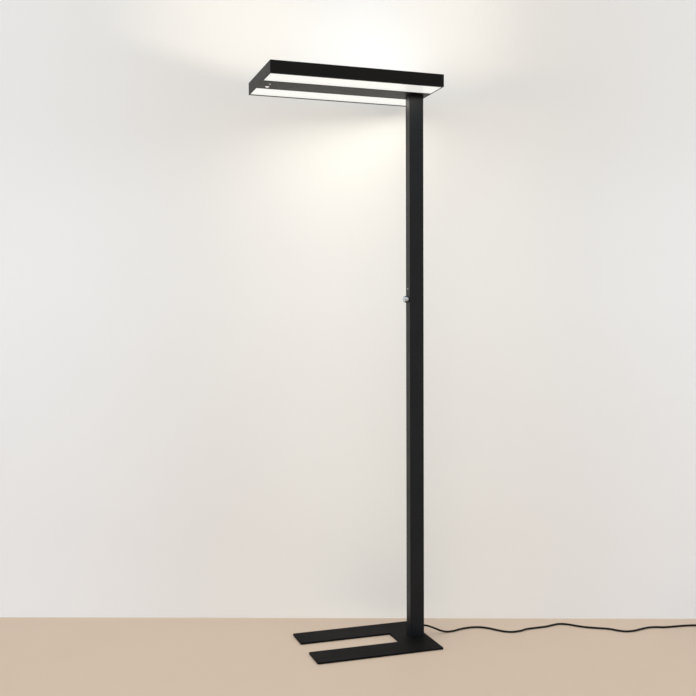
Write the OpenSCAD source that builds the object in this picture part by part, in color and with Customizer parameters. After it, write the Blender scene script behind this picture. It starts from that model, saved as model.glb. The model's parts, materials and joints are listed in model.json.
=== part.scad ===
// LED office floor lamp: a flat rectangular head with light panels above and below,
// a rectangular post near one end of the head, and a U-shaped floor plate.
// Millimetres, +Z up. The origin is on the floor, below the middle of the head.
// +X runs along the head towards the post, and -Y is the near side.

/* [Overall] */
// Height of the whole lamp
lamp_h = 1950; // [1750:10:2100]
// Slip clearance on each side of nested pieces
fit_gap = 0.2; // [0.1:0.05:0.4]
// Clearance added to a screw's diameter in its hole
screw_gap = 0.2; // [0.1:0.05:0.4]
// Chamfer of the outer metal edges
edge = 0.6; // [0.3:0.1:1]

/* [Head] */
// Length of the head
head_l = 600; // [520:5:700]
// Width of the head
head_w = 312; // [270:2:360]
// Height of the head
head_h = 42; // [38:1:50]
// Wall of the side rails
rail_t = 3; // [2.5:0.5:4]
// Thickness of the end plates
end_t = 3; // [2.5:0.5:4]
// Width of the lips and ledges on the side rails
rail_lip = 5; // [3:0.5:7]
// Thickness of the lips and ledges
lip_t = 1.5; // [1:0.1:2]
// Height of the LED trays above the underside of the head
tray_h = 18.5; // [16:0.5:20]
// Thickness of the LED trays
tray_t = 1.5; // [1:0.1:2]
// Thickness of the lower diffusers
diffuser_t = 3; // [2:0.5:4]
// Thickness of the upper covers
uplight_t = 2.5; // [2:0.5:3]
// Depth of the upper covers below the top edge
uplight_drop = 3; // [2.5:0.5:4]
// Width of the centre channel
spine_w = 102; // [92:1:112]
// Wall of the centre channel
spine_wall = 2; // [1.5:0.5:3]
// Width of the lips and ledges on the centre channel
spine_lip = 6; // [4:0.5:7]
// Thickness of the lid over the centre channel
lid_t = 1.5; // [1:0.1:2]
// Width of the inner flanges that carry the lid
lid_flange = 8; // [7:0.5:10]

/* [Lights] */
// Width of an LED board
led_board_w = 40; // [30:1:50]
// Margin between an LED board and the end plates
led_margin = 15; // [5:1:30]
// Thickness of the circuit boards
pcb_t = 1.6; // [1:0.2:2]
// LEDs along one row of a board
led_count = 20; // [8:1:28]
// Distance between the two rows of LEDs
led_row_gap = 20; // [10:1:24]

/* [Driver] */
// Length of the LED driver
driver_l = 230; // [180:5:260]
// Width of the LED driver
driver_w = 56; // [46:1:60]
// Height of the LED driver
driver_h = 28; // [24:1:30]

/* [Sensors] */
// Distance of the sensors from the free end of the head
sensor_inset = 33; // [26:1:45]
// Diameter of the motion sensor's cap
pir_d = 14; // [12:0.5:18]
// Depth of the motion sensor's cap below the head
pir_drop = 3; // [2.5:0.5:6]
// Offset of the motion sensor towards the far side
pir_y = 21; // [14:0.5:24]
// Diameter of the daylight sensor
daylight_d = 7; // [5:0.5:8]
// Offset of the daylight sensor towards the near side
daylight_y = 18; // [10:0.5:22]

/* [Post] */
// Width of the post along the head
post_w = 52; // [48:1:60]
// Depth of the post across the head
post_d = 38; // [36:1:50]
// Wall of the post
post_wall = 2; // [1.5:0.25:3]
// Corner radius of the post
post_r = 1.5; // [1:0.25:3]
// Distance from the post's axis to the end of the head
post_inset = 43; // [40:1:80]
// Height of the seam between the two post lengths
seam_z = 920; // [500:10:1080]
// Length of the sleeve inside the seam
joiner_l = 160; // [120:5:200]
// Wall of the sleeve inside the seam
joiner_wall = 3; // [2:0.5:4]
// Height of the block in the post's foot
foot_block_h = 22; // [20:1:23]
// Height of the block in the post's top
top_block_h = 45; // [40:1:60]

/* [Base] */
// Length of the floor plate
base_l = 448; // [380:2:520]
// Width of the floor plate
base_w = 312; // [260:2:380]
// Thickness of the floor plate
base_t = 6; // [6:0.5:9]
// Distance from the post's axis to the closed end of the floor plate
base_tail = 40; // [34:1:60]
// Width of the slot between the prongs
slot_w = 96; // [60:1:140]
// Length of the slot between the prongs
slot_l = 328; // [200:2:340]
// Corner radius of the floor plate
base_r = 5; // [2:0.5:10]
// Diameter of the floor pads
pad_d = 30; // [15:1:40]
// Thickness of the floor pads
pad_t = 1; // [1:0.5:4]
// Distance of the floor pads from the plate's edges
pad_inset = 24; // [21:1:40]

/* [Dimmer] */
// Height of the dimmer knob
knob_z = 1198; // [1100:2:1300]
// Diameter of the dimmer knob
knob_d = 24; // [20:0.5:28]
// Length of the dimmer knob
knob_l = 14; // [12:0.5:18]
// Gap between the released knob and the post
knob_gap = 1.5; // [1.3:0.1:2]
// Travel of the knob when it is pressed
push_travel = 1; // [0.5:0.1:1.1]
// Diameter of the dimmer shaft
shaft_d = 6; // [5:0.25:6.5]
// Diameter of the indicator light
indicator_d = 4; // [3:0.5:5]
// Height of the indicator light above the knob
indicator_rise = 37; // [30:1:40]

/* [Cord] */
// Diameter of the mains cord
cord_d = 7; // [6:0.25:7.5]
// Height of the cord's exit above the block in the post's foot
exit_rise = 8; // [7:0.5:30]
// Length of the cord grommet outside the post
grommet_out = 5; // [3:0.5:10]
// Length of the cord grommet inside the post
grommet_in = 14; // [13:0.5:15]
// Diameter of the control lead inside the post
control_d = 4; // [3:0.25:5]
// Mean radius of the coil of spare cord
coil_r = 36; // [35:0.5:42]
// Turns in each of the coil's two layers
coil_turns = 2; // [1:1:3]
// Width of the strap that ties the coil
tie_w = 8; // [5:0.5:12]
// Thickness of the strap that ties the coil
tie_t = 1.2; // [0.8:0.1:2]
// Diameter of the plug's body
plug_d = 36; // [34:0.5:40]
// Length of the plug's body
plug_l = 34; // [30:1:45]
// Diameter of the plug's pins
pin_d = 4.8; // [4:0.1:5]
// Length of the plug's pins
pin_l = 19; // [17:0.5:22]
// Distance between the plug's pins
pin_pitch = 19; // [18:0.5:20]

/* [Hidden] */
$fn = 64;

// Colours
black_coat = "#262626";
black_rubber = "#1a1a1a";
strap_black = "#202022";
bare_metal = "#b9bcc0";
bright_metal = "#d8dade";
dark_metal = "#4a4a4d";
opal = "#f7f4ea";
clear_plastic = "#dfe9df";
white_plastic = "#ecebe6";
grey_plastic = "#8d9094";
dark_plastic = "#3a3a3c";
red_plastic = "#c94f3d";
wire_grey = "#c8c8c4";
board_green = "#2f6b45";
board_white = "#e9e9e4";

// Main places
post_x = head_l / 2 - post_inset;
base_top = pad_t + base_t;
exit_z = base_top + foot_block_h + exit_rise;
base_x1 = post_x + base_tail;
base_x0 = base_x1 - base_l;
prong_w = (base_w - slot_w) / 2;
bridge_l = base_l - slot_l;
head_bot = lamp_h - head_h;
in_l = head_l - 2 * end_t;
in_w = head_w - 2 * rail_t;
post_face = post_w / 2;
post_in_w = post_w - 2 * post_wall;
post_in_d = post_d - 2 * post_wall;
block_w = post_in_w - 2 * fit_gap;
block_d = post_in_d - 2 * fit_gap;

// Screws: diameter, head diameter and head height of each size in use
m4 = [4, 7, 2.2];
m5 = [5, 9.2, 2.7];
m6 = [6, 10, 6];
m6_flat = [6, 12, 3];
socket_share = 0.5;

// How far a cut runs past the faces that it opens
over = 1;

// Fixing of the post's two end blocks
block_pitch_w = 32;
block_pitch_d = 20;
foot_screw_l = 22;
head_screw_in = 22;
rear_screw_l = 11;
rear_screw_pitch = 30;
rear_screw_from_seam = 20;
top_rear_screw_drop = 36;
seam_groove = 0.5;

// Centre channel
spine_in = spine_w - 2 * spine_lip - 2 * spine_wall;
spine_out = spine_in / 2 + spine_wall;
spine_h = head_h - lid_t;
spine_l = in_l - 2 * fit_gap;
uplight_z = head_h - uplight_drop - uplight_t;
stud_d = 4;
stud_l = 8;
stud_nut_af = 7;
stud_nut_h = 3.2;
driver_ear = 12;
driver_ear_t = 2;
stud_x = driver_l / 2 + driver_ear / 2;

// Flange on top of the post, inside the channel
flange_t = 6;
flange_left = 40;
flange_right = 30;
flange_room = 5;
flange_w = spine_in - 2 * flange_room;
flange_top = lip_t + flange_t;

// Lid of the centre channel
lid_screw_inset = 45;
lid_screw_x = in_l / 2 - lid_screw_inset;
lid_screw_y = spine_in / 2 - lid_flange / 2;
lid_screw_l = 8;
vent_count = 12;
vent_w = 3;
vent_l = 18;
vent_pitch = 15;
vent_y = 14;

// Light bays, one on each side of the channel
bay_y0 = spine_out + fit_gap;
bay_y1 = in_w / 2 - fit_gap;
bay_y = (bay_y0 + bay_y1) / 2;
bay_w = bay_y1 - bay_y0;
bay_l = in_l - 2 * fit_gap;
led_board_l = in_l - 2 * led_margin;
led_size = [3.5, 2.8, 0.7];
connector_size = [10, 8, 5];

// Brackets inside the corners and at the ends of the channel
bracket_t = 3;
bracket_leg = 25;
bracket_room = 1;
bracket_z0 = tray_h + tray_t + bracket_room;
bracket_h = uplight_z - lip_t - bracket_room - bracket_z0;
bracket_screw_at = 15;
blind_depth = 2;
spine_bracket_z0 = 8;
spine_bracket_h = 22;
spine_bracket_leg = 22;
spine_bracket_screw_y = 18;

// Sensors
sensor_x = sensor_inset - head_l / 2;
lens_flange = 2;
lens_flange_t = 1;
lens_wall = 1;
sensor_board_l = 28;
sensor_board_edge = 1;
sensor_board_w = 2 * (pir_y + pir_d / 2 + lens_flange + sensor_board_edge);
sensor_board_z = lip_t + lens_flange_t;
pir_can_d = 8;
pir_can_h = 3;
sensor_plug_size = [8, 10, 8];
sensor_plug_y = -16;
sensor_board_shift = 4;
sensor_lead_d = 3;
daylight_dome_d = 1.5 * daylight_d;
sensor_lead_z = sensor_board_z + pcb_t + sensor_plug_size[2] / 2;

// Leads inside the post and the head
lead_room = 0.5;
lead_bend_low = 12;
lead_bend_top = 15;
lead_x = post_face - post_wall - grommet_in - lead_bend_low;
lead_z = 20;
control_x = 7;
control_y = -9;
control_bend = 8;
control_drop = 8;
led_lead_d = 3;
led_lead_y = 12;
led_lead_z = tray_h + tray_t + pcb_t + connector_size[2] / 2;
led_lead_run = 12;
led_lead_bend = 8;
led_lead_x = driver_l / 2 + led_lead_run + led_lead_bend;

// Dimmer, measured inwards from the inner face of the post's wall
bush_d = 9;
bush_out = 4;
body_size = [6.5, 12.5, 13.5];
shaft_gap = 0.1;
plunger_d = 3.5;
plunger_gap = 0.1;
plunger_l = 2.9;
plunger_room = 0.2;
switch_size = [3.2, 8, 8];
switch_floor = 0.4;
board_at = body_size[0] + plunger_l + push_travel + switch_floor + plunger_room;
board_w = 24;
board_below = 18;
board_margin = 10;
board_above = indicator_rise + board_margin;
leg_w = 2;
washer_d = 13;
washer_t = 0.6;
nut_af = 12;
nut_t = 2;
knob_edge = 1.2;
knob_cavity_d = 16;
knob_cavity = 6;
knob_bore = 11;
knob_bore_room = 0.2;
knob_mark_w = 1;
knob_mark_d = 0.5;
shaft_rest = 0.2;
grub_d = 3;
grub_sink = 1;
pipe_proud = 0.6;
pipe_collar = 1.5;
pipe_collar_t = 1;
pipe_led = 3;
pipe_led_h = 2;
pipe_end = board_at - pipe_led_h;
dimmer_x = post_x - post_face + post_wall;
wall_x = post_x - post_face;

// Grommet and plug
grommet_tip_wall = 1.25;
grommet_neck_wall = 1.75;
grommet_collar_wall = 3;
grommet_tip = cord_d + 2 * grommet_tip_wall;
grommet_neck = cord_d + 2 * grommet_neck_wall;
grommet_collar = cord_d + 2 * grommet_collar_wall;
grommet_lock_t = 2;
cord_clear = 0.1;
plug_relief_l = 30;
plug_relief_back_wall = 1.5;
plug_relief_front_wall = 3.5;
plug_relief_d0 = cord_d + 2 * plug_relief_back_wall;
plug_relief_d1 = cord_d + 2 * plug_relief_front_wall;
plug_nose = 14;
plug_neck_d = 20;
plug_edge = 2;
pin_hold = 8;

// The cord's route from the post across the floor, measured from the post's axis
cord_z = cord_d / 2;
cord_drop = [[50, 0, 33.5], [64, 1, 27.5], [81, 2, 19.5], [98, 2, 11.5], [114, 3, 6]];
cord_floor = [
    [131, 3], [152, 5], [178, 14], [206, 20], [236, 20], [263, 10], [284, -9], [302, -35],
    [321, -60], [346, -74], [380, -73], [415, -62], [485, -61], [520, -54],
    [552, -49], [579, -64], [600, -89], [622, -112], [646, -129], [694, -160],
    [711, -183], [733, -202], [764, -206], [800, -198], [836, -192], [867, -197],
    [898, -209], [962, -215], [992, -220], [1020, -228]
];
cord_steps = 2;
cord_sides = 10;

// The coil, wound in two layers that spiral in and out again
coil_start = [1062, -237];
coil_heading = -10;
coil_room = 0.6;
coil_pitch = cord_d + coil_room;
tie_gap = 0.6;
coil_z = cord_d / 2 + tie_gap + tie_t;
coil_rings = 24;
coil_sides = 6;
coil_out = 45;
coil_out_rings = 8;
climb_half = 0.25;
coil_dir = [cos(coil_heading), sin(coil_heading)];
coil_side = [coil_dir[1], -coil_dir[0]];
coil_outer = coil_r + coil_turns * coil_pitch / 2;
coil_centre = coil_start + coil_side * coil_outer;
plug_z = plug_d / 2;

// Curve helpers
function unit(v) = v / norm(v);
function smooth_step(t) = t * t * (3 - 2 * t);
function between(p, i, t) =
    let (
        a = p[max(i - 1, 0)],
        b = p[i],
        c = p[i + 1],
        d = p[min(i + 2, len(p) - 1)]
    )
    0.5 * (2 * b + (c - a) * t + (2 * a - 5 * b + 4 * c - d) * t * t
        + (3 * b - a - 3 * c + d) * t * t * t);
function smooth_path(p, steps) = concat(
    [for (i = [0 : len(p) - 2]) for (k = [0 : steps - 1]) between(p, i, k / steps)],
    [p[len(p) - 1]]);
function heading(p, i) = unit(p[min(i + 1, len(p) - 1)] - p[max(i - 1, 0)]);
function ring(centre, along, d, sides) =
    let (
        across = unit(cross(along, [0, 0, 1])),
        rise = cross(across, along)
    )
    [for (k = [0 : sides - 1])
        centre + d / 2 * (cos(360 * k / sides) * across + sin(360 * k / sides) * rise)];

// A tube of triangles along a path, closed at both ends
module tube(path, d, sides) {
    count = len(path);
    corners = [for (i = [0 : count - 1]) each ring(path[i], heading(path, i), d, sides)];
    walls = [for (i = [0 : count - 2]) for (k = [0 : sides - 1])
        let (
            a = i * sides + k,
            b = i * sides + (k + 1) % sides
        )
        each [[a, b, b + sides], [a, b + sides, a + sides]]];
    first = [for (k = [1 : sides - 2]) [0, k + 1, k]];
    last_row = (count - 1) * sides;
    last = [for (k = [1 : sides - 2]) [last_row, last_row + k, last_row + k + 1]];
    polyhedron(points = corners, faces = concat(walls, first, last));
}

// The cord's paths
function on_floor(p) = [p[0], p[1], cord_z];
coil_in = [coil_start[0], coil_start[1], coil_z] - cord_d * [coil_dir[0], coil_dir[1], 0];
coil_before = coil_in - 2 * cord_d * [coil_dir[0], coil_dir[1], 0];
cord_exit = [post_face + grommet_out, 0, exit_z];
cord_points = concat(
    [for (k = [0 : 2]) cord_exit + k * [cord_d / 2, 0, 0]], cord_drop,
    [for (p = cord_floor) on_floor(p)], [coil_before, coil_in]);
cord_path = smooth_path(cord_points, cord_steps);

function coil_radius(t) = coil_outer - coil_pitch * (t < coil_turns ? t : 2 * coil_turns - t);
function coil_level(t) =
    let (s = (t - coil_turns + climb_half) / (2 * climb_half))
    coil_z + coil_pitch * min(1, max(0, s));
function coil_point(t) =
    let (turned = coil_heading + 90 - 360 * t)
    concat(coil_centre + coil_radius(t) * [cos(turned), sin(turned)], coil_level(t));
coil_end = coil_point(2 * coil_turns);
plug_back = [coil_end[0], coil_end[1], plug_z] + coil_out * [coil_dir[0], coil_dir[1], 0];
coil_spiral = [for (i = [0 : 2 * coil_turns * coil_rings]) coil_point(i / coil_rings)];
coil_tail = [for (i = [1 : coil_out_rings])
    let (t = i / coil_out_rings)
    [coil_end[0] + t * (plug_back[0] - coil_end[0]),
     coil_end[1] + t * (plug_back[1] - coil_end[1]),
     coil_end[2] + smooth_step(t) * (plug_z - coil_end[2])]];
coil_last = plug_back + cord_d * [coil_dir[0], coil_dir[1], 0];
coil_path = concat([coil_in], coil_spiral, coil_tail, [coil_last]);

// The least distance between turns of the coil, less the cord's diameter
coil_gap = min([for (i = [0 : len(coil_spiral) - 1])
    for (k = [i + coil_rings / 2 : 1 : len(coil_spiral) - 1])
        norm(coil_spiral[i] - coil_spiral[k])]) - cord_d;
function path_length(p, i = 1) = i >= len(p) ? 0 : norm(p[i] - p[i - 1]) + path_length(p, i + 1);
echo(coil_gap = coil_gap);
echo(cord_length = path_length(cord_path) + path_length(coil_path));

// Shared shapes
module at_post() {
    translate([post_x, 0, 0]) children();
}

module in_head() {
    translate([0, 0, head_bot]) children();
}

// Draws its children on the near side (-1) or the far side (+1)
module on_side(side) {
    if (side > 0) children();
    else mirror([0, 1, 0]) children();
}

// Draws its children at the left end (-1) or the right end (+1)
module at_end(end) {
    if (end > 0) children();
    else mirror([1, 0, 0]) children();
}

module rod_x(d, x0, x1) {
    translate([x0, 0, 0]) rotate([0, 90, 0]) cylinder(d = d, h = x1 - x0);
}

module rounded_rect(l, w, r) {
    square([l - 2 * r, w], center = true);
    square([l, w - 2 * r], center = true);
    for (x = [-1, 1]) for (y = [-1, 1])
        translate([x * (l / 2 - r), y * (w / 2 - r)]) circle(r);
}

module cut_rect(l, w, c) {
    polygon([
        [c, 0], [l - c, 0], [l, c], [l, w - c], [l - c, w], [c, w], [0, w - c], [0, c]
    ]);
}

// A box with chamfered edges, from its lowest corner
module cut_box(size, c) {
    intersection() {
        linear_extrude(size[2]) cut_rect(size[0], size[1], c);
        translate([0, size[1], 0]) rotate([90, 0, 0])
            linear_extrude(size[1]) cut_rect(size[0], size[2], c);
        rotate([90, 0, 90]) linear_extrude(size[0]) cut_rect(size[1], size[2], c);
    }
}

// A plate with rounded corners and chamfered upper and lower edges, from its lowest corner
module round_box(size, c, r) {
    intersection() {
        translate([size[0] / 2, size[1] / 2, 0])
            linear_extrude(size[2]) rounded_rect(size[0], size[1], r);
        translate([0, size[1], 0]) rotate([90, 0, 0])
            linear_extrude(size[1]) cut_rect(size[0], size[2], c);
        rotate([90, 0, 90]) linear_extrude(size[0]) cut_rect(size[1], size[2], c);
    }
}

// A cap screw along -Z, with the underside of its head at the origin
module cap_screw(m, l) {
    difference() {
        cylinder(d = m[1], h = m[2]);
        translate([0, 0, m[2] * (1 - socket_share)]) cylinder(d = m[0], h = m[2], $fn = 6);
    }
    translate([0, 0, -l]) cylinder(d = m[0], h = l);
}

// A countersunk screw along -Z, with the top of its head at the origin
module flat_screw(m, l) {
    difference() {
        union() {
            translate([0, 0, -m[2]]) cylinder(d1 = m[0], d2 = m[1], h = m[2]);
            translate([0, 0, -l]) cylinder(d = m[0], h = l - m[2]);
        }
        translate([0, 0, -m[2] * socket_share]) cylinder(d = m[0] * socket_share, h = m[2], $fn = 6);
    }
}

// The hole for a countersunk screw, a little wider than the screw
module flat_hole(m, l) {
    translate([0, 0, -m[2]]) cylinder(d1 = m[0] + screw_gap, d2 = m[1] + screw_gap, h = m[2]);
    translate([0, 0, -l]) cylinder(d = m[0] + screw_gap, h = l - m[2] / 2);
    cylinder(d = m[1] + screw_gap, h = m[2]);
}

module hex_nut(af, bore, h) {
    difference() {
        cylinder(d = af / cos(30), h = h, $fn = 6);
        translate([0, 0, -over]) cylinder(d = bore, h = h + 2 * over);
    }
}

// Places for the four screws in each end block of the post
module block_holes() {
    for (x = [-1, 1]) for (y = [-1, 1])
        translate([x * block_pitch_w / 2, y * block_pitch_d / 2, 0]) children();
}

// Heights of the screws in the rear face of the post
rear_screws_low = [base_top + foot_block_h / 2,
    seam_z - rear_screw_from_seam - rear_screw_pitch, seam_z - rear_screw_from_seam];
rear_screws_high = [seam_z + rear_screw_from_seam,
    seam_z + rear_screw_from_seam + rear_screw_pitch, head_bot - top_rear_screw_drop];

module rear_screws(heights) {
    for (z = heights)
        translate([post_x + post_face, 0, z]) rotate([0, 90, 0]) children();
}

// Floor plate and foot of the post
module base_plate() {
    color(black_coat) difference() {
        translate([base_x0, -base_w / 2, pad_t]) {
            translate([slot_l, 0, 0]) round_box([bridge_l, base_w, base_t], edge, base_r);
            for (y = [0, base_w - prong_w])
                translate([0, y, 0]) round_box([slot_l + bridge_l / 2, prong_w, base_t], edge, base_r);
        }
        at_post() block_holes()
            translate([0, 0, pad_t]) mirror([0, 0, 1]) flat_hole(m6_flat, base_t + over);
    }
}

module base_pads() {
    pad_x = [base_x0 + pad_inset, base_x0 + slot_l / 2, base_x1 - pad_inset];
    color(black_rubber)
        for (x = pad_x) for (y = [-1, 1])
            translate([x, y * (base_w / 2 - pad_inset), 0]) cylinder(d = pad_d, h = pad_t);
}

module base_screws() {
    color(bare_metal) at_post() block_holes()
        translate([0, 0, pad_t]) mirror([0, 0, 1]) flat_screw(m6_flat, foot_screw_l);
}

// A block that plugs one end of the post
module post_block(h) {
    translate([0, 0, h / 2]) cube([block_w, block_d, h], center = true);
}

module foot_block() {
    color(bare_metal) difference() {
        at_post() difference() {
            translate([0, 0, base_top]) post_block(foot_block_h);
            block_holes() translate([0, 0, base_top - over])
                cylinder(d = m6[0] + screw_gap, h = foot_screw_l - base_t + 2 * over);
        }
        rear_screws(rear_screws_low) flat_hole(m5, rear_screw_l + over);
    }
}

// Post
module post_tube(z0, z1) {
    at_post() translate([0, 0, z0]) linear_extrude(z1 - z0) difference() {
        rounded_rect(post_w, post_d, post_r);
        square([post_in_w, post_in_d], center = true);
    }
}

// A shallow step round the post, centred on the seam
module seam_step() {
    at_post() translate([0, 0, seam_z - seam_groove]) linear_extrude(2 * seam_groove) difference() {
        square([post_w + over, post_d + over], center = true);
        rounded_rect(post_w - 2 * seam_groove, post_d - 2 * seam_groove, post_r - seam_groove);
    }
}

module lower_post() {
    color(black_coat) difference() {
        post_tube(base_top, seam_z);
        seam_step();
        rear_screws(rear_screws_low) flat_hole(m5, rear_screw_l + over);
        at_post() translate([0, 0, exit_z])
            rod_x(grommet_neck + 2 * fit_gap, post_face - post_wall - over, post_face + over);
    }
}

module upper_post() {
    color(black_coat) difference() {
        post_tube(seam_z, head_bot);
        seam_step();
        rear_screws(rear_screws_high) flat_hole(m5, rear_screw_l + over);
        translate([0, 0, knob_z]) rod_x(bush_d + 2 * fit_gap, wall_x - over, dimmer_x + over);
        translate([0, 0, knob_z + indicator_rise])
            rod_x(indicator_d + 2 * fit_gap, wall_x - over, dimmer_x + over);
    }
}

module post_joiner() {
    color(bare_metal) difference() {
        at_post() translate([0, 0, seam_z - joiner_l / 2]) linear_extrude(joiner_l) difference() {
            square([block_w, block_d], center = true);
            square([block_w - 2 * joiner_wall, block_d - 2 * joiner_wall], center = true);
        }
        rear_screws(concat(rear_screws_low, rear_screws_high)) flat_hole(m5, rear_screw_l + over);
    }
}

module post_screws() {
    color(black_coat) rear_screws(concat(rear_screws_low, rear_screws_high)) flat_screw(m5, rear_screw_l);
}

// Holes for the two leads that rise from the post into the head
module lead_holes(z0, h) {
    translate([lead_x, 0, z0]) cylinder(d = cord_d + 2 * lead_room, h = h);
    translate([control_x, control_y, z0]) cylinder(d = control_d + 2 * lead_room, h = h);
}

module top_block() {
    color(bare_metal) difference() {
        at_post() difference() {
            translate([0, 0, head_bot - top_block_h]) post_block(top_block_h);
            lead_holes(head_bot - top_block_h - over, top_block_h + 2 * over);
            block_holes() translate([0, 0, head_bot - head_screw_in - over])
                cylinder(d = m6[0] + screw_gap, h = head_screw_in + 2 * over);
        }
        rear_screws(rear_screws_high) flat_hole(m5, rear_screw_l + over);
    }
}

module head_flange() {
    color(bare_metal) in_head() at_post() difference() {
        translate([-flange_left, -flange_w / 2, lip_t])
            cube([flange_left + flange_right, flange_w, flange_t]);
        lead_holes(0, flange_top + over);
        block_holes() cylinder(d = m6[0] + screw_gap, h = flange_top + over);
    }
}

module head_screws() {
    color(bare_metal) in_head() at_post() block_holes()
        translate([0, 0, flange_top]) cap_screw(m6, flange_top + head_screw_in);
}

// Centre channel with its lid
module spine_profile() {
    for (s = [0, 1]) mirror([s, 0]) {
        square([spine_w / 2, lip_t]);
        translate([spine_in / 2, 0]) square([spine_wall, spine_h]);
        for (z = [tray_h, uplight_z])
            translate([spine_in / 2, z - lip_t]) square([spine_wall + spine_lip, lip_t]);
        translate([spine_in / 2 - lid_flange, spine_h - lip_t]) square([lid_flange + spine_wall, lip_t]);
    }
}

module spine() {
    lip_hole = lip_t + 2 * over;
    wall_hole = spine_wall + 2 * over;
    color(black_coat) in_head() difference() {
        union() {
            translate([-spine_l / 2, 0, 0]) rotate([90, 0, 90])
                linear_extrude(spine_l) spine_profile();
            for (x = [-1, 1]) translate([x * stud_x, 0, lip_t]) cylinder(d = stud_d, h = stud_l);
        }
        translate([0, 0, -over]) {
            translate([sensor_x, pir_y, 0]) cylinder(d = pir_d + 2 * fit_gap, h = lip_hole);
            translate([sensor_x, -daylight_y, 0]) cylinder(d = daylight_d + 2 * fit_gap, h = lip_hole);
            at_post() lead_holes(0, lip_hole);
            at_post() block_holes() cylinder(d = m6[0] + screw_gap, h = lip_hole);
        }
        lid_screw_places() flat_hole(m4, lid_screw_l + over);
        for (side = [-1, 1]) on_side(side) {
            translate([-led_lead_x, 0, led_lead_z]) rotate([-90, 0, 0])
                translate([0, 0, spine_in / 2 - over])
                cylinder(d = led_lead_d + 2 * lead_room, h = wall_hole);
            spine_wall_screws() translate([0, 0, -spine_wall - over])
                cylinder(d = m4[0] + screw_gap, h = wall_hole);
        }
    }
}

module lid_screw_places() {
    for (x = [-1, 0, 1]) for (y = [-1, 1])
        translate([x * lid_screw_x, y * lid_screw_y, head_h]) children();
}

module spine_lid() {
    color(black_coat) in_head() difference() {
        translate([-spine_l / 2, -spine_w / 2, spine_h]) cube([spine_l, spine_w, lid_t]);
        lid_screw_places() flat_hole(m4, lid_screw_l + over);
        for (i = [0 : vent_count - 1]) for (y = [-1, 1])
            translate([(i - (vent_count - 1) / 2) * vent_pitch, y * vent_y, spine_h + lid_t / 2])
                cube([vent_w, vent_l, lid_t + over], center = true);
    }
}

module lid_screws() {
    color(black_coat) in_head() lid_screw_places() flat_screw(m4, lid_screw_l);
}

// Frame of the head
module rail_profile() {
    polygon([
        [0, 0], [rail_t - edge, 0], [rail_t, edge], [rail_t, head_h - edge],
        [rail_t - edge, head_h], [0, head_h]
    ]);
    for (z = [lip_t, tray_h, uplight_z])
        translate([-rail_lip, z - lip_t]) square([rail_lip + rail_t - edge, lip_t]);
}

module side_rail(side) {
    color(black_coat) in_head() on_side(side) difference() {
        translate([-in_l / 2, in_w / 2, 0]) rotate([90, 0, 90])
            linear_extrude(in_l) rail_profile();
        for (end = [-1, 1]) at_end(end) rail_screw_place() blind_hole(m4);
    }
}

module rail_near() {
    side_rail(-1);
}

module rail_far() {
    side_rail(1);
}

module end_plate(end) {
    color(black_coat) in_head() at_end(end) difference() {
        intersection() {
            translate([in_l / 2, -head_w / 2, 0]) linear_extrude(head_h) polygon([
                [0, 0], [end_t - edge, 0], [end_t, edge], [end_t, head_w - edge],
                [end_t - edge, head_w], [0, head_w]
            ]);
            translate([in_l / 2, head_w / 2, 0]) rotate([90, 0, 0]) linear_extrude(head_w) polygon([
                [0, 0], [end_t - edge, 0], [end_t, edge], [end_t, head_h - edge],
                [end_t - edge, head_h], [0, head_h]
            ]);
        }
        for (side = [-1, 1]) on_side(side) {
            end_screw_place() blind_hole(m4);
            spine_end_screw_place() blind_hole(m4);
        }
    }
}

module end_plate_left() {
    end_plate(-1);
}

module end_plate_right() {
    end_plate(1);
}

// A blind hole along -Z from the origin
module blind_hole(m) {
    translate([0, 0, -blind_depth - fit_gap])
        cylinder(d = m[0] + screw_gap, h = blind_depth + fit_gap + over);
}

// The inner face of the far rail near the right end, with -Z running into the rail
module rail_screw_place() {
    translate([in_l / 2 - bracket_screw_at, in_w / 2, bracket_z0 + bracket_h / 2])
        rotate([90, 0, 0]) children();
}

// The inner face of the right end plate near the far rail, with -Z running into the plate
module end_screw_place() {
    translate([in_l / 2, in_w / 2 - bracket_screw_at, bracket_z0 + bracket_h / 2])
        rotate([0, -90, 0]) children();
}

// The inner face of the right end plate inside the channel, with -Z running into the plate
module spine_end_screw_place() {
    translate([in_l / 2, spine_bracket_screw_y, spine_bracket_z0 + spine_bracket_h / 2])
        rotate([0, -90, 0]) children();
}

// The inner face of the channel's far wall at the right end, with -Z running into the wall
module spine_wall_screw() {
    translate([in_l / 2 - bracket_screw_at, spine_in / 2, spine_bracket_z0 + spine_bracket_h / 2])
        rotate([90, 0, 0]) children();
}

module spine_wall_screws() {
    for (end = [-1, 1]) at_end(end) spine_wall_screw() children();
}

module each_corner() {
    for (end = [-1, 1]) for (side = [-1, 1]) at_end(end) on_side(side) children();
}

module corner_brackets() {
    color(bare_metal) in_head() each_corner() difference() {
        translate([in_l / 2 - bracket_leg, in_w / 2 - bracket_leg, bracket_z0]) difference() {
            cube([bracket_leg, bracket_leg, bracket_h]);
            translate([-bracket_t, -bracket_t, -over])
                cube([bracket_leg, bracket_leg, bracket_h + 2 * over]);
        }
        rail_screw_place() cylinder(d = m4[0] + screw_gap, h = 3 * bracket_t, center = true);
        end_screw_place() cylinder(d = m4[0] + screw_gap, h = 3 * bracket_t, center = true);
    }
}

module corner_screws() {
    color(bare_metal) in_head() each_corner() {
        rail_screw_place() translate([0, 0, bracket_t]) cap_screw(m4, bracket_t + blind_depth);
        end_screw_place() translate([0, 0, bracket_t]) cap_screw(m4, bracket_t + blind_depth);
    }
}

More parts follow.
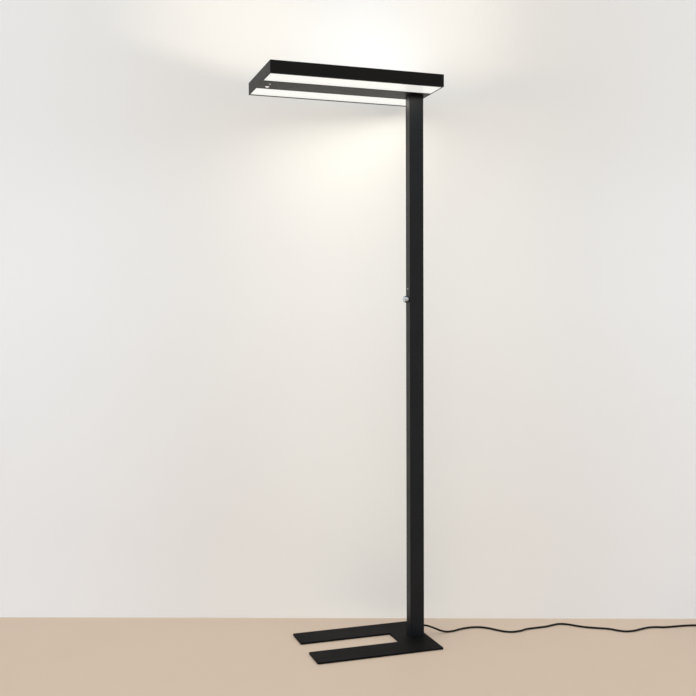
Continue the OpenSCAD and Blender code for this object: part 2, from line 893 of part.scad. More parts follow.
module spine_brackets() {
    bracket_w = spine_in - 2 * fit_gap;
    color(bare_metal) in_head() for (end = [-1, 1]) at_end(end) difference() {
        translate([in_l / 2 - spine_bracket_leg, -bracket_w / 2, spine_bracket_z0]) difference() {
            cube([spine_bracket_leg, bracket_w, spine_bracket_h]);
            translate([-bracket_t, bracket_t, -over])
                cube([spine_bracket_leg, bracket_w - 2 * bracket_t, spine_bracket_h + 2 * over]);
        }
        for (side = [-1, 1]) on_side(side) {
            spine_end_screw_place() cylinder(d = m4[0] + screw_gap, h = 3 * bracket_t, center = true);
            spine_wall_screw() cylinder(d = m4[0] + screw_gap, h = 3 * bracket_t, center = true);
        }
    }
}

module spine_bracket_screws() {
    color(bare_metal) in_head() for (side = [-1, 1]) on_side(side) {
        for (end = [-1, 1]) at_end(end)
            spine_end_screw_place() translate([0, 0, bracket_t]) cap_screw(m4, bracket_t + blind_depth);
        spine_wall_screws() translate([0, 0, bracket_t + fit_gap])
            cap_screw(m4, bracket_t + fit_gap + spine_wall);
    }
}

// A plate that fills one light bay, from z0 upwards
module bay_plate(z0, t) {
    translate([-bay_l / 2, bay_y0, z0]) cube([bay_l, bay_w, t]);
}

module led_tray(side) {
    color(board_white) in_head() on_side(side) bay_plate(tray_h, tray_t);
}

module led_tray_near() {
    led_tray(-1);
}

module led_tray_far() {
    led_tray(1);
}

// A board of LEDs facing up, from its underside
module led_board() {
    led_pitch = led_board_l / led_count;
    led_z = pcb_t + led_size[2] / 2;
    translate([-led_board_l / 2, bay_y - led_board_w / 2, 0])
        cube([led_board_l, led_board_w, pcb_t]);
    for (i = [0 : led_count - 1]) for (row = [-1, 1])
        translate([(i - (led_count - 1) / 2) * led_pitch, bay_y + row * led_row_gap / 2, led_z])
            cube(led_size, center = true);
}

module led_board_up(side) {
    color(board_white) in_head() on_side(side) translate([0, 0, tray_h + tray_t]) {
        led_board();
        translate([-led_lead_x - connector_size[0] / 2, bay_y - led_board_w / 2, pcb_t])
            cube(connector_size);
    }
}

module led_board_down(side) {
    color(board_white) in_head() on_side(side)
        translate([0, 0, tray_h]) mirror([0, 0, 1]) led_board();
}

module led_board_down_near() {
    led_board_down(-1);
}

module led_board_down_far() {
    led_board_down(1);
}

module led_board_up_near() {
    led_board_up(-1);
}

module led_board_up_far() {
    led_board_up(1);
}

module diffuser(side) {
    color(opal) in_head() on_side(side) bay_plate(lip_t, diffuser_t);
}

module diffuser_near() {
    diffuser(-1);
}

module diffuser_far() {
    diffuser(1);
}

module uplight(side) {
    color(opal) in_head() on_side(side) bay_plate(uplight_z, uplight_t);
}

module uplight_near() {
    uplight(-1);
}

module uplight_far() {
    uplight(1);
}

// Electrical pieces in the channel
module led_driver() {
    color(white_plastic) in_head() translate([0, 0, lip_t]) difference() {
        union() {
            translate([-driver_l / 2, -driver_w / 2, 0])
                cut_box([driver_l, driver_w, driver_h], edge);
            translate([-driver_l / 2 - driver_ear, -driver_ear, 0])
                cube([driver_l + 2 * driver_ear, 2 * driver_ear, driver_ear_t]);
        }
        for (x = [-1, 1]) translate([x * stud_x, 0, -over])
            cylinder(d = stud_d + screw_gap, h = driver_ear_t + 2 * over);
    }
}

module driver_nuts() {
    color(bare_metal) in_head() for (x = [-1, 1])
        translate([x * stud_x, 0, lip_t + driver_ear_t])
            hex_nut(stud_nut_af, stud_d + screw_gap, stud_nut_h);
}

// A round cap of radius r that hangs h below the origin and runs straight up to z1
module round_cap(r, h, z1) {
    ball = (r * r + h * h) / (2 * h);
    intersection() {
        translate([0, 0, ball - h]) sphere(ball);
        translate([0, 0, -h]) cylinder(r = r, h = z1 + h);
    }
}

module pir_lens() {
    color(white_plastic) in_head() translate([sensor_x, pir_y, 0]) difference() {
        union() {
            translate([0, 0, lip_t]) cylinder(d = pir_d + 2 * lens_flange, h = lens_flange_t);
            round_cap(pir_d / 2, pir_drop, sensor_board_z);
        }
        round_cap(pir_d / 2 - lens_wall, pir_drop - lens_wall, sensor_board_z + over);
    }
}

module daylight_lens() {
    dome_z = sqrt(daylight_dome_d * daylight_dome_d - daylight_d * daylight_d) / 2 - lens_wall;
    color(grey_plastic) in_head() translate([sensor_x, -daylight_y, 0]) {
        translate([0, 0, lip_t]) cylinder(d = daylight_d + 2 * lens_flange, h = lens_flange_t);
        translate([0, 0, -lens_wall]) cylinder(d = daylight_d, h = lip_t + lens_wall);
        intersection() {
            translate([0, 0, dome_z]) sphere(d = daylight_dome_d);
            translate([0, 0, -daylight_dome_d]) cylinder(d = daylight_d, h = daylight_dome_d);
        }
    }
}

module sensor_board() {
    color(board_green) in_head() translate([sensor_x, 0, sensor_board_z]) {
        translate([sensor_board_shift - sensor_board_l / 2, -sensor_board_w / 2, 0])
            cube([sensor_board_l, sensor_board_w, pcb_t]);
        translate([0, pir_y, -pir_can_h]) cylinder(d = pir_can_d, h = pir_can_h);
        translate([
            sensor_board_shift + sensor_board_l / 2 - sensor_plug_size[0],
            sensor_plug_y - sensor_plug_size[1] / 2, pcb_t
        ]) cube(sensor_plug_size);
    }
}

// A quarter bend of a round lead, from the origin along +X and turning up to +Z
module bend_up(r, d) {
    translate([0, 0, r]) rotate([90, 0, 0]) rotate([0, 0, -90])
        rotate_extrude(angle = 90) translate([r, 0]) circle(d = d);
}

module mains_lead() {
    color(black_rubber) at_post() {
        translate([0, 0, exit_z]) rod_x(cord_d, lead_x + lead_bend_low, post_face + grommet_out);
        translate([lead_x + lead_bend_low, 0, exit_z]) mirror([1, 0, 0])
            bend_up(lead_bend_low, cord_d);
        translate([lead_x, 0, exit_z + lead_bend_low])
            cylinder(d = cord_d, h = head_bot + lead_z - lead_bend_top - exit_z - lead_bend_low);
        translate([lead_x - lead_bend_top, 0, head_bot + lead_z]) mirror([0, 0, 1])
            bend_up(lead_bend_top, cord_d);
        translate([0, 0, head_bot + lead_z])
            rod_x(cord_d, driver_l / 2 - post_x, lead_x - lead_bend_top);
    }
}

module control_lead() {
    start_x = board_at + pcb_t - post_face + post_wall;
    start_z = knob_z - control_drop;
    color(dark_plastic) at_post() translate([0, control_y, 0]) {
        translate([0, 0, start_z]) rod_x(control_d, start_x, control_x - control_bend);
        translate([control_x - control_bend, 0, start_z]) bend_up(control_bend, control_d);
        translate([control_x, 0, start_z + control_bend])
            cylinder(d = control_d, h = head_bot + lead_z - start_z - 2 * control_bend);
        translate([control_x - control_bend, 0, head_bot + lead_z]) mirror([0, 0, 1])
            bend_up(control_bend, control_d);
        translate([0, 0, head_bot + lead_z])
            rod_x(control_d, driver_l / 2 - post_x, control_x - control_bend);
    }
}

module led_leads() {
    color(wire_grey) in_head() for (side = [-1, 1]) on_side(side) translate([0, 0, led_lead_z]) {
        translate([0, led_lead_y, 0]) rod_x(led_lead_d, led_lead_bend - led_lead_x, -driver_l / 2);
        translate([led_lead_bend - led_lead_x, led_lead_y + led_lead_bend, 0]) rotate([0, 0, 180])
            rotate_extrude(angle = 90) translate([led_lead_bend, 0]) circle(d = led_lead_d);
        translate([-led_lead_x, led_lead_y + led_lead_bend, 0]) rotate([-90, 0, 0])
            cylinder(d = led_lead_d, h = bay_y - led_board_w / 2 - led_lead_y - led_lead_bend);
    }
}

module sensor_lead() {
    color(wire_grey) in_head() translate([0, sensor_plug_y, sensor_lead_z])
        rod_x(sensor_lead_d, sensor_x + sensor_board_shift + sensor_board_l / 2, -driver_l / 2);
}

// Dimmer in the left face of the post
module dimmer_body() {
    color(dark_plastic) translate([dimmer_x, 0, knob_z]) difference() {
        union() {
            translate([0, -body_size[1] / 2, -body_size[2] / 2]) cube(body_size);
            rod_x(bush_d, -post_wall - bush_out, over);
            for (y = [-1, 1]) translate([body_size[0] / 2, y * (body_size[1] - leg_w) / 2, 0])
                translate([0, -leg_w / 2, -leg_w / 2]) cube([board_at - body_size[0] / 2, leg_w, leg_w]);
        }
        rod_x(shaft_d + shaft_gap, -post_wall - bush_out - over, body_size[0] + over);
    }
}

module dimmer_nut() {
    color(bare_metal) translate([wall_x, 0, knob_z]) rotate([0, -90, 0]) {
        difference() {
            cylinder(d = washer_d, h = washer_t);
            translate([0, 0, -over]) cylinder(d = bush_d + 2 * fit_gap, h = washer_t + 2 * over);
        }
        translate([0, 0, washer_t]) hex_nut(nut_af, bush_d + 2 * fit_gap, nut_t);
    }
}

module dimmer_board() {
    color(board_green) translate([dimmer_x, 0, knob_z]) {
        translate([board_at, -board_w / 2, -board_below])
            cube([pcb_t, board_w, board_below + board_above]);
        translate([pipe_end + fit_gap, -pipe_led / 2, indicator_rise - pipe_led / 2])
            cube([pipe_led_h, pipe_led, pipe_led]);
    }
}

module push_switch() {
    depth = plunger_l + push_travel + plunger_room - (board_at - switch_size[0] - body_size[0]);
    color(dark_plastic) translate([dimmer_x + board_at - switch_size[0], 0, knob_z]) difference() {
        translate([0, -switch_size[1] / 2, -switch_size[2] / 2]) cube(switch_size);
        rod_x(plunger_d + 2 * plunger_gap, -over, depth);
    }
}

module switch_plunger() {
    color(red_plastic) translate([dimmer_x + body_size[0], 0, knob_z]) rod_x(plunger_d, 0, plunger_l);
}

module dimmer_shaft() {
    color(bright_metal) translate([0, 0, knob_z])
        rod_x(shaft_d, wall_x - knob_gap - knob_bore, dimmer_x + body_size[0] - shaft_rest);
}

module dimmer_knob() {
    color(bright_metal) translate([wall_x - knob_gap, 0, knob_z]) rotate([0, -90, 0]) difference() {
        rotate_extrude() polygon([
            [0, 0], [knob_d / 2 - knob_edge / 2, 0], [knob_d / 2, knob_edge / 2],
            [knob_d / 2, knob_l - knob_edge], [knob_d / 2 - knob_edge, knob_l], [0, knob_l]
        ]);
        translate([0, 0, -over]) cylinder(d = knob_cavity_d, h = knob_cavity + over);
        translate([0, 0, -over]) cylinder(d = shaft_d + shaft_gap, h = knob_bore + knob_bore_room + over);
        translate([knob_d / 2 - knob_mark_d, -knob_mark_w / 2, knob_l / 2])
            cube([knob_d, knob_mark_w, knob_l]);
        grub_place() cylinder(d = grub_d + screw_gap, h = knob_d);
    }
}

// The grub screw's axis, from the shaft outwards, in the knob's own frame
module grub_place() {
    translate([-shaft_d / 2 - shaft_gap / 2, 0, (knob_cavity + knob_bore) / 2])
        rotate([0, -90, 0]) children();
}

module knob_grub_screw() {
    grub_l = (knob_d - shaft_d - shaft_gap) / 2 - grub_sink;
    color(dark_metal) translate([wall_x - knob_gap, 0, knob_z]) rotate([0, -90, 0]) grub_place()
        difference() {
            cylinder(d = grub_d, h = grub_l);
            translate([0, 0, grub_l / 2]) cylinder(d = grub_d / 2, h = grub_l, $fn = 6);
        }
}

module indicator_lens() {
    color(clear_plastic) translate([dimmer_x, 0, knob_z + indicator_rise]) {
        rod_x(indicator_d, -post_wall - pipe_proud, pipe_end);
        rod_x(indicator_d + 2 * pipe_collar, 0, pipe_collar_t);
    }
}

// Mains cord
module cord_grommet() {
    inner = post_wall + grommet_in;
    front = inner + grommet_out;
    color(black_rubber) at_post() translate([post_face - inner, 0, exit_z]) rotate([0, 90, 0])
        difference() {
            rotate_extrude() polygon([
                [0, 0], [grommet_tip / 2, 0], [grommet_neck / 2, grommet_in - grommet_lock_t],
                [grommet_collar / 2, grommet_in - grommet_lock_t], [grommet_collar / 2, grommet_in],
                [grommet_neck / 2, grommet_in], [grommet_neck / 2, inner],
                [grommet_collar / 2, inner], [grommet_tip / 2, front], [0, front]
            ]);
            translate([0, 0, -over]) cylinder(d = cord_d + cord_clear, h = front + 2 * over);
        }
}

module cord_run() {
    color(black_rubber) at_post() tube(cord_path, cord_d, cord_sides);
}

module cord_coil() {
    color(black_rubber) at_post() tube(coil_path, cord_d, coil_sides);
}

module cord_tie() {
    turned = coil_heading - 90;
    inside = [coil_turns * coil_pitch, 2 * coil_pitch] + (2 * tie_gap - coil_room) * [1, 1];
    color(strap_black) at_post()
        translate([coil_centre[0], coil_centre[1], coil_z + coil_pitch / 2])
        rotate([0, 0, turned]) translate([coil_r, tie_w / 2, 0]) rotate([90, 0, 0])
        linear_extrude(tie_w) difference() {
            rounded_rect(inside[0] + 2 * tie_t, inside[1] + 2 * tie_t, 2 * tie_t);
            rounded_rect(inside[0], inside[1], tie_t);
        }
}

// Draws its children with +X along the plug's pins and the origin at the back of the plug
module at_plug() {
    at_post() translate(coil_last) rotate([0, 0, coil_heading]) children();
}

module plug_body() {
    front = plug_relief_l + plug_l;
    color(black_rubber) at_plug() difference() {
        rotate([0, 90, 0]) rotate_extrude() polygon([
            [0, 0], [plug_relief_d0 / 2, 0], [plug_relief_d1 / 2, plug_relief_l],
            [plug_neck_d / 2, plug_relief_l], [plug_neck_d / 2, plug_relief_l + plug_edge],
            [plug_d / 2, front - plug_nose], [plug_d / 2, front - plug_edge],
            [plug_d / 2 - plug_edge, front], [0, front]
        ]);
        for (y = [-1, 1]) translate([0, y * pin_pitch / 2, 0])
            rod_x(pin_d, front - pin_hold, front + over);
    }
}

module plug_pins() {
    front = plug_relief_l + plug_l;
    color(bright_metal) at_plug() for (y = [-1, 1]) translate([0, y * pin_pitch / 2, 0]) {
        rod_x(pin_d, front - pin_hold, front + pin_l - pin_d / 2);
        translate([front + pin_l - pin_d / 2, 0, 0]) sphere(d = pin_d);
    }
}

base_plate();
base_pads();
base_screws();
foot_block();
lower_post();
post_joiner();
upper_post();
post_screws();
top_block();
head_flange();
head_screws();
spine();
spine_lid();
lid_screws();
rail_near();
rail_far();
end_plate_left();
end_plate_right();
corner_brackets();
corner_screws();
spine_brackets();
spine_bracket_screws();
led_tray_near();
led_tray_far();
led_board_down_near();
led_board_down_far();
led_board_up_near();
led_board_up_far();
diffuser_near();
diffuser_far();
uplight_near();
uplight_far();
led_driver();
driver_nuts();
pir_lens();
daylight_lens();
sensor_board();
mains_lead();
control_lead();
led_leads();
sensor_lead();
dimmer_body();
dimmer_nut();
dimmer_board();
push_switch();
switch_plunger();
dimmer_shaft();
dimmer_knob();
knob_grub_screw();
indicator_lens();
cord_grommet();
cord_run();
cord_coil();
cord_tie();
plug_body();
plug_pins();
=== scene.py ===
# Looks of a slim LED office floor lamp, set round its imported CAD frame.
# Metres, +Z up. The origin is on the floor, below the middle of the lamp's head.
import bmesh
import bpy
import json
import math
from mathutils import Matrix, Vector


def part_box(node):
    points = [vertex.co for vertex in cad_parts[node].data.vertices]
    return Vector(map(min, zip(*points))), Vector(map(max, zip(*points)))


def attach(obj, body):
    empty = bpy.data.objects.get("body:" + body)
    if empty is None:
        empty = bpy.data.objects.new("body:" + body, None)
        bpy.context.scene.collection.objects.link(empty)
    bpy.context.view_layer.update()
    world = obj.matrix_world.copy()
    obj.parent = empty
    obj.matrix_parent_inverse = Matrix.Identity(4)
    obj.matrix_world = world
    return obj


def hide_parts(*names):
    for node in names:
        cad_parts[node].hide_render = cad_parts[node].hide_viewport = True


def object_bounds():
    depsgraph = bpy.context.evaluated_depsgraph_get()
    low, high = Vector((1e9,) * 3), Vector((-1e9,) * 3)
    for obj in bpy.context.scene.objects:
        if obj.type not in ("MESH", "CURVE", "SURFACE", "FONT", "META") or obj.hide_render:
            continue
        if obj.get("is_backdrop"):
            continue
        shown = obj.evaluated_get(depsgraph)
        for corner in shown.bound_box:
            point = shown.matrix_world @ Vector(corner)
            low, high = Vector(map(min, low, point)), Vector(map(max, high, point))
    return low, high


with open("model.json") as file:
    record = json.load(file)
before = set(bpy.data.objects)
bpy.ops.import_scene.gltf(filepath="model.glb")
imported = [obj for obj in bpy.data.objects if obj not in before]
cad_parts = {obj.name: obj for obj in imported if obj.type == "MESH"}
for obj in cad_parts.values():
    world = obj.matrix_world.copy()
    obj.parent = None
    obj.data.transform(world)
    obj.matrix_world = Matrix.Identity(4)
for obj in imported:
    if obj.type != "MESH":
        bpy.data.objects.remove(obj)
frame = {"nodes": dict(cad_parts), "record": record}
cad_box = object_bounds()
nodes = frame["nodes"]

# Camera at the photograph's viewpoint
CAMERA_AT = Vector((-1.03236, -3.11432, 1.11254))
CAMERA_YAW = math.radians(18.48)
CAMERA_PITCH = math.radians(-1.45)
CAMERA_ROLL = math.radians(-0.2)
FOCAL_PIXELS = 953.58
IMAGE_PIXELS = 696
SENSOR_MM = 36

# Cord, and its route from the post across the floor, measured from the post's axis
POST_X = (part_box("lower_post")[0].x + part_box("lower_post")[1].x) / 2
CORD_D = 0.007
CORD_Z = CORD_D / 2
CORD_BEVEL_STEPS = 5
CORD_STEPS = 6
GROMMET_LOW, GROMMET_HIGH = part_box("cord_grommet")
CORD_EXIT = Vector((GROMMET_HIGH.x - POST_X, 0, (GROMMET_LOW.z + GROMMET_HIGH.z) / 2))
CORD_EXIT_POINTS = 3
CORD_DROP = [
    (0.050, 0, 0.0335), (0.064, 0.001, 0.0275), (0.081, 0.002, 0.0195),
    (0.098, 0.002, 0.0115), (0.114, 0.003, 0.006),
]
CORD_FLOOR = [
    (0.131, 0.003), (0.152, 0.005), (0.178, 0.014), (0.206, 0.020), (0.236, 0.020),
    (0.263, 0.010), (0.284, -0.009), (0.302, -0.035), (0.321, -0.060), (0.346, -0.074),
    (0.380, -0.073), (0.415, -0.062), (0.485, -0.061), (0.520, -0.054), (0.552, -0.049),
    (0.579, -0.064), (0.600, -0.089), (0.622, -0.112), (0.646, -0.129), (0.694, -0.160),
    (0.711, -0.183), (0.733, -0.202), (0.764, -0.206), (0.800, -0.198), (0.836, -0.192),
    (0.867, -0.197), (0.898, -0.209), (0.962, -0.215), (0.992, -0.220), (1.020, -0.228),
]

# Strap round the coil of spare cord
TIE_GAP = 0.0006
TIE_T = 0.0012
TIE_W = 0.008
TIE_EDGE = 0.0003
TIE_CORNER = 0.0032
TIE_CORNER_STEPS = 6
TIE_RAMP = 0.002
TIE_LAP = 0.004

# Coil of spare cord: so many turns in on the floor, and as many out again on top
COIL_START = Vector((1.062, -0.237, 0))
COIL_HEADING = math.radians(-10)
COIL_R = 0.036
COIL_TURNS = 2
COIL_ROOM = 0.0006
COIL_PITCH = CORD_D + COIL_ROOM
COIL_STRAIGHT = CORD_D
COIL_LEAD = 2 * CORD_D
COIL_RINGS = 48
COIL_CLIMB = 0.25
COIL_OUT = 0.045
COIL_OUT_RINGS = 12
COIL_Z = CORD_Z + TIE_GAP + TIE_T
COIL_OUTER = COIL_R + COIL_TURNS * COIL_PITCH / 2
COIL_ALONG = Vector((math.cos(COIL_HEADING), math.sin(COIL_HEADING), 0))
COIL_ACROSS = Vector((math.sin(COIL_HEADING), -math.cos(COIL_HEADING), 0))
COIL_CENTRE = COIL_START + COIL_OUTER * COIL_ACROSS
TIE_HALF = (COIL_TURNS * COIL_PITCH + 2 * TIE_GAP - COIL_ROOM + TIE_T) / 2

# Plug, from the cord's end to its front
PLUG_R = 0.018
PLUG_RELIEF_L = 0.030
PLUG_RELIEF_BACK_R = 0.005
PLUG_RELIEF_FRONT_R = 0.007
PLUG_RIB_PITCH = 0.005
PLUG_RIB_DEPTH = 0.0012
PLUG_RIB_POWER = 0.5
PLUG_RIB_STEPS = 12
PLUG_NECK_R = 0.010
PLUG_NECK_L = 0.002
PLUG_FLARE_L = 0.018
PLUG_FLARE_STEPS = 16
PLUG_BODY_L = 0.034
PLUG_BODY_STEPS = 8
PLUG_FRONT = PLUG_RELIEF_L + PLUG_BODY_L
PLUG_EDGE = 0.002
PLUG_ROUND_STEPS = 5
PLUG_FLUTES = 28
PLUG_FLUTE_DEPTH = 0.0008
PLUG_FLUTE_POWER = 0.7
PLUG_FLUTE_SIDES = 6
PLUG_FACE_R = 0.0128
PLUG_FACE_SINK = 0.0008

# Facets of the motion sensor's lens: rows by their share of the way from its middle to its rim
LENS_ROWS = (0.18, 0.45, 0.72, 0.98)
LENS_FACETS = (6, 10, 14)
LENS_GROOVE = 0.00022
LENS_GROOVE_POWER = 6
LENS_FLANGE_T = 0.001
LENS_FLANGE_W = 0.002
LENS_RINGS = 60
LENS_SIDES = 144

# Node textures: the middle range of a noise, and the length of a wave at a scale of 1
NOISE_LOW = 0.3
NOISE_HIGH = 0.7
WAVE_LENGTH = math.pi / 10

# Light that the lamp throws
GLOW_COLOUR = (1.0, 0.94, 0.83)
GLOW_GAP = 0.001
DOWN_GLOW = 3.2
DOWN_SPREAD = math.radians(168)
UP_GLOW = 2.5
UP_SPREAD = math.radians(160)

# Light panels and indicator light, as they shine, and the painted glow of the motion sensor's lens,
# which is no lamp: it stands in for the panels' light coming through it
PANEL_COLOUR = (0.98, 0.985, 0.95)
PANEL_BASE = (0.20, 0.195, 0.185)
PANEL_ROUGH = 0.35
PANEL_STRENGTH = 0.765
PANEL_DIM_TINT = 0.90
PANEL_MIDDLE_LEVEL = 0.50
PANEL_EDGE_LEVEL = 0.15
PANEL_PRISM = 0.003
PANEL_PRISM_LEVEL = 0.10
PANEL_RELIEF = (0.3, 0.0002)
INDICATOR_DARK = (0.70, 0.74, 0.70)
INDICATOR_LIGHT = (0.80, 0.83, 0.80)
INDICATOR_CLOUDS = 300
INDICATOR_ROUGH = 0.2
INDICATOR_STRENGTH = 0.25
# Painted glow of the motion sensor's lens: its colour and strength
PIR_PAINTED_GLOW = (0.96, 0.99, 1, 1)
PIR_PAINTED_GLOW_STRENGTH = 0.42

# Finishes. Clouds, marks and grain are noise scales, tints and sheens are the factors between which a
# colour and a roughness vary, and a relief is a bump's strength and its height.
COAT_CLOUDS = 9
COAT_TINTS = (0.85, 1.15)
COAT_SHEEN_CLOUDS = 5
COAT_SHEENS = (0.92, 1.08)
COAT_RELIEF = (0.6, 0.0003)
COATS = {
    "coat_steel": dict(colour=(0.006, 0.006, 0.0063), gloss=0.06, rough=0.60, grain=900),
    "coat_alu": dict(colour=(0.0062, 0.0080, 0.0108), gloss=0.23, rough=0.42, grain=1300),
    # A darker, duller copy of the black coat: painted shade on the head
    "coat_head": dict(colour=(0.0045, 0.0045, 0.0045), gloss=0.135, rough=0.42, grain=1300),
}
# Pieces of the head that get a darker, duller copy of the black coat: painted shade
HEAD_SHELL = ("rail_near", "rail_far", "end_plate_left", "end_plate_right", "spine")
METAL_MARKS = 60
METAL_TINTS = (0.9, 1)
METAL_SHEENS = (0.85, 1.2)
METAL_RELIEF = (0.05, 0.00005)
METALS = {
    "steel": dict(colour=(0.56, 0.57, 0.58), rough=0.34, stretch=(1, 1, 8)),
    "alu": dict(colour=(0.62, 0.63, 0.64), rough=0.42, stretch=(8, 1, 1)),
    "pins": dict(colour=(0.66, 0.65, 0.62), rough=0.22, stretch=(10, 1, 1)),
}
CHROME_DARK = (0.52, 0.56, 0.61)
CHROME_LIGHT = (0.64, 0.68, 0.73)
CHROME_CLOUDS = 200
CHROME_ROUGH = (0.05, 0.12)
CHROME_PITCH = 0.0004
CHROME_RAGGED = 3
CHROME_RELIEF = (0.06, 0.00004)
MOULD_CLOUDS = 40
MOULD_TINTS = (0.92, 1.06)
MOULD_SHEEN_CLOUDS = 25
MOULD_SHEENS = (0.9, 1.1)
MOULD_RELIEF = (0.1, 0.00005)
MOULDINGS = {
    "rubber": dict(colour=(0.012, 0.012, 0.012), rough=0.72, grain=1500),
    "cord": dict(colour=(0.005, 0.005, 0.0052), rough=0.48, grain=900, Specular_IOR_Level=0.2),
    "plug": dict(colour=(0.010, 0.010, 0.010), rough=0.5, grain=1200, Specular_IOR_Level=0.35),
    "tray": dict(colour=(0.86, 0.86, 0.84), rough=0.55, grain=700),
    "led_board": dict(colour=(0.84, 0.84, 0.81), rough=0.45, grain=900),
    "driver": dict(colour=(0.80, 0.79, 0.76), rough=0.5, grain=700),
    "board": dict(colour=(0.03, 0.15, 0.07), rough=0.4, grain=600),
    # The sensor's lens glows with painted light, standing in for the panels' light through it
    "pir": dict(
        colour=(0.80, 0.80, 0.80), rough=0.40, grain=1400,
        Emission_Color=PIR_PAINTED_GLOW, Emission_Strength=PIR_PAINTED_GLOW_STRENGTH,
    ),
    "daylight": dict(colour=(0.78, 0.80, 0.82), rough=0.25, grain=900),
    "lead": dict(colour=(0.55, 0.55, 0.52), rough=0.5, grain=900),
    "dark_plastic": dict(colour=(0.05, 0.05, 0.055), rough=0.5, grain=900),
}
TAPE_COLOUR = (0.012, 0.012, 0.013)
TAPE_TINTS = (0.7, 1.5)
TAPE_ROUGH = 0.85
TAPE_GLOSS = 0.25
TAPE_PITCH = 0.0009
TAPE_RELIEF = (0.6, 0.0002)

# Floor
FLOOR_SIDE = 80
FLOOR_COLOUR = (0.72, 0.592, 0.474)
FLOOR_CLOUDS = 3
FLOOR_TINTS = (0.99, 1.01)
FLOOR_ROUGH = 0.55
FLOOR_GLOSS = 0.3

# Wall
WALL_FOOT_LEFT = Vector((-1.042, 0.687, 0))
WALL_FOOT_RIGHT = Vector((1.205, -0.110, 0))
WALL_ALONG = (WALL_FOOT_RIGHT - WALL_FOOT_LEFT).normalized()
WALL_FACING = Vector((WALL_ALONG.y, -WALL_ALONG.x, 0))
WALL_LENGTH = 14
WALL_HEIGHT = 6
WALL_COLOUR = (0.86, 0.865, 0.87)
WALL_CLOUDS = 2
WALL_TINTS = (0.995, 1.005)
WALL_ROUGH = 0.9
WALL_GLOSS = 0.1

# Glow of the wall: colours that add up, each between two heights or two distances from the halo's middle
WALL_BASE = (0.058, 0.054, 0.047)
WALL_RISE = (0.049, 0.070, 0.082)
WALL_RISE_FROM = 0.3
WALL_RISE_TO = 1.2
WALL_TOP = (-0.035, -0.042, -0.050)
WALL_TOP_FROM = 1.45
WALL_TOP_TO = 1.95
WALL_SIDES = (0.047, 0.071, 0.103)
WALL_SIDES_FROM = 0.3
WALL_SIDES_TO = 1.5
WALL_HALO = (0.085, 0.087, 0.074)
WALL_HALO_X = 0.15
WALL_HALO_WIDE = 0.8

# Glow of the uplights on the wall: place along it, half width and colour of each soft lobe
UP_LOBES = (
    (-0.50, 0.50, (0.14, 0.135, 0.11)),
    (0.45, 0.30, (0.065, 0.060, 0.045)),
    (0.05, 0.40, (-0.01, 0.0, 0.030)),
)
UP_FOOT = 1.84
UP_FULL = 1.955
UP_SLANT = 0.29

# Dim band on the wall between the light thrown up and the light thrown down
BAND = (-0.045, -0.035, -0.015)
BAND_Z = 1.985
BAND_HALF = 0.12
BAND_FROM = 0.3
BAND_TO = 0.9

# Light of the room
ROOM_COLOUR = (1.0, 0.995, 0.985)
ROOM_LOW = 0.80
ROOM_HIGH = 1.15
ROOM_BEHIND_WALL = (0.67, 0.63, 0.58)
ROOM_BLEND = 0.15


def make_camera():
    """The camera, which looks along its yaw and pitch and is rolled about that line."""
    ahead = Vector((
        math.sin(CAMERA_YAW) * math.cos(CAMERA_PITCH),
        math.cos(CAMERA_YAW) * math.cos(CAMERA_PITCH),
        math.sin(CAMERA_PITCH),
    ))
    right = Vector((math.cos(CAMERA_YAW), -math.sin(CAMERA_YAW), 0))
    up = right.cross(ahead)
    across = math.cos(CAMERA_ROLL) * right + math.sin(CAMERA_ROLL) * up
    upward = math.cos(CAMERA_ROLL) * up - math.sin(CAMERA_ROLL) * right
    camera = bpy.data.objects.new("camera", bpy.data.cameras.new("camera"))
    turned_by = Matrix((across, upward, -ahead)).transposed().to_4x4()
    camera.matrix_world = Matrix.Translation(CAMERA_AT) @ turned_by
    camera.data.sensor_width = SENSOR_MM
    camera.data.lens = FOCAL_PIXELS / IMAGE_PIXELS * SENSOR_MM
    bpy.context.scene.collection.objects.link(camera)
    bpy.context.scene.camera = camera


# Curves and meshes


def evenly(steps, start, end):
    """Values in even steps from start to end, both included."""
    return [start + (end - start) * k / steps for k in range(steps + 1)]


def smooth_step(t):
    """Goes from 0 to 1 with a smooth start and end."""
    return t * t * (3 - 2 * t)


def smooth_path(points, steps):
    """A Catmull-Rom curve through the points, with so many steps between each two."""
    path = []
    last = len(points) - 1
    for i in range(last):
        a = points[max(i - 1, 0)]
        b = points[i]
        c = points[i + 1]
        d = points[min(i + 2, last)]
        for k in range(steps):
            t = k / steps
            bend = (2 * a - 5 * b + 4 * c - d) * t ** 2 + (3 * b - a - 3 * c + d) * t ** 3
            path.append(0.5 * (2 * b + (c - a) * t + bend))
    return path + [points[last]]


def path_length(path):
    return sum((b - a).length for a, b in zip(path, path[1:]))


def ring_mesh(name, rings):
    """A closed smooth mesh over rings of points, with a flat cap at each end."""
    mesh = bmesh.new()
    rows = [[mesh.verts.new(point) for point in ring] for ring in rings]
    for low, high in zip(rows, rows[1:]):
        for k in range(len(low)):
            nearby = (k + 1) % len(low)
            face = mesh.faces.new([low[k], low[nearby], high[nearby], high[k]])
            face.smooth = True
    mesh.faces.new(reversed(rows[0]))
    mesh.faces.new(rows[-1])
    bmesh.ops.recalc_face_normals(mesh, faces=mesh.faces)
    data = bpy.data.meshes.new(name)
    mesh.to_mesh(data)
    mesh.free()
    return data


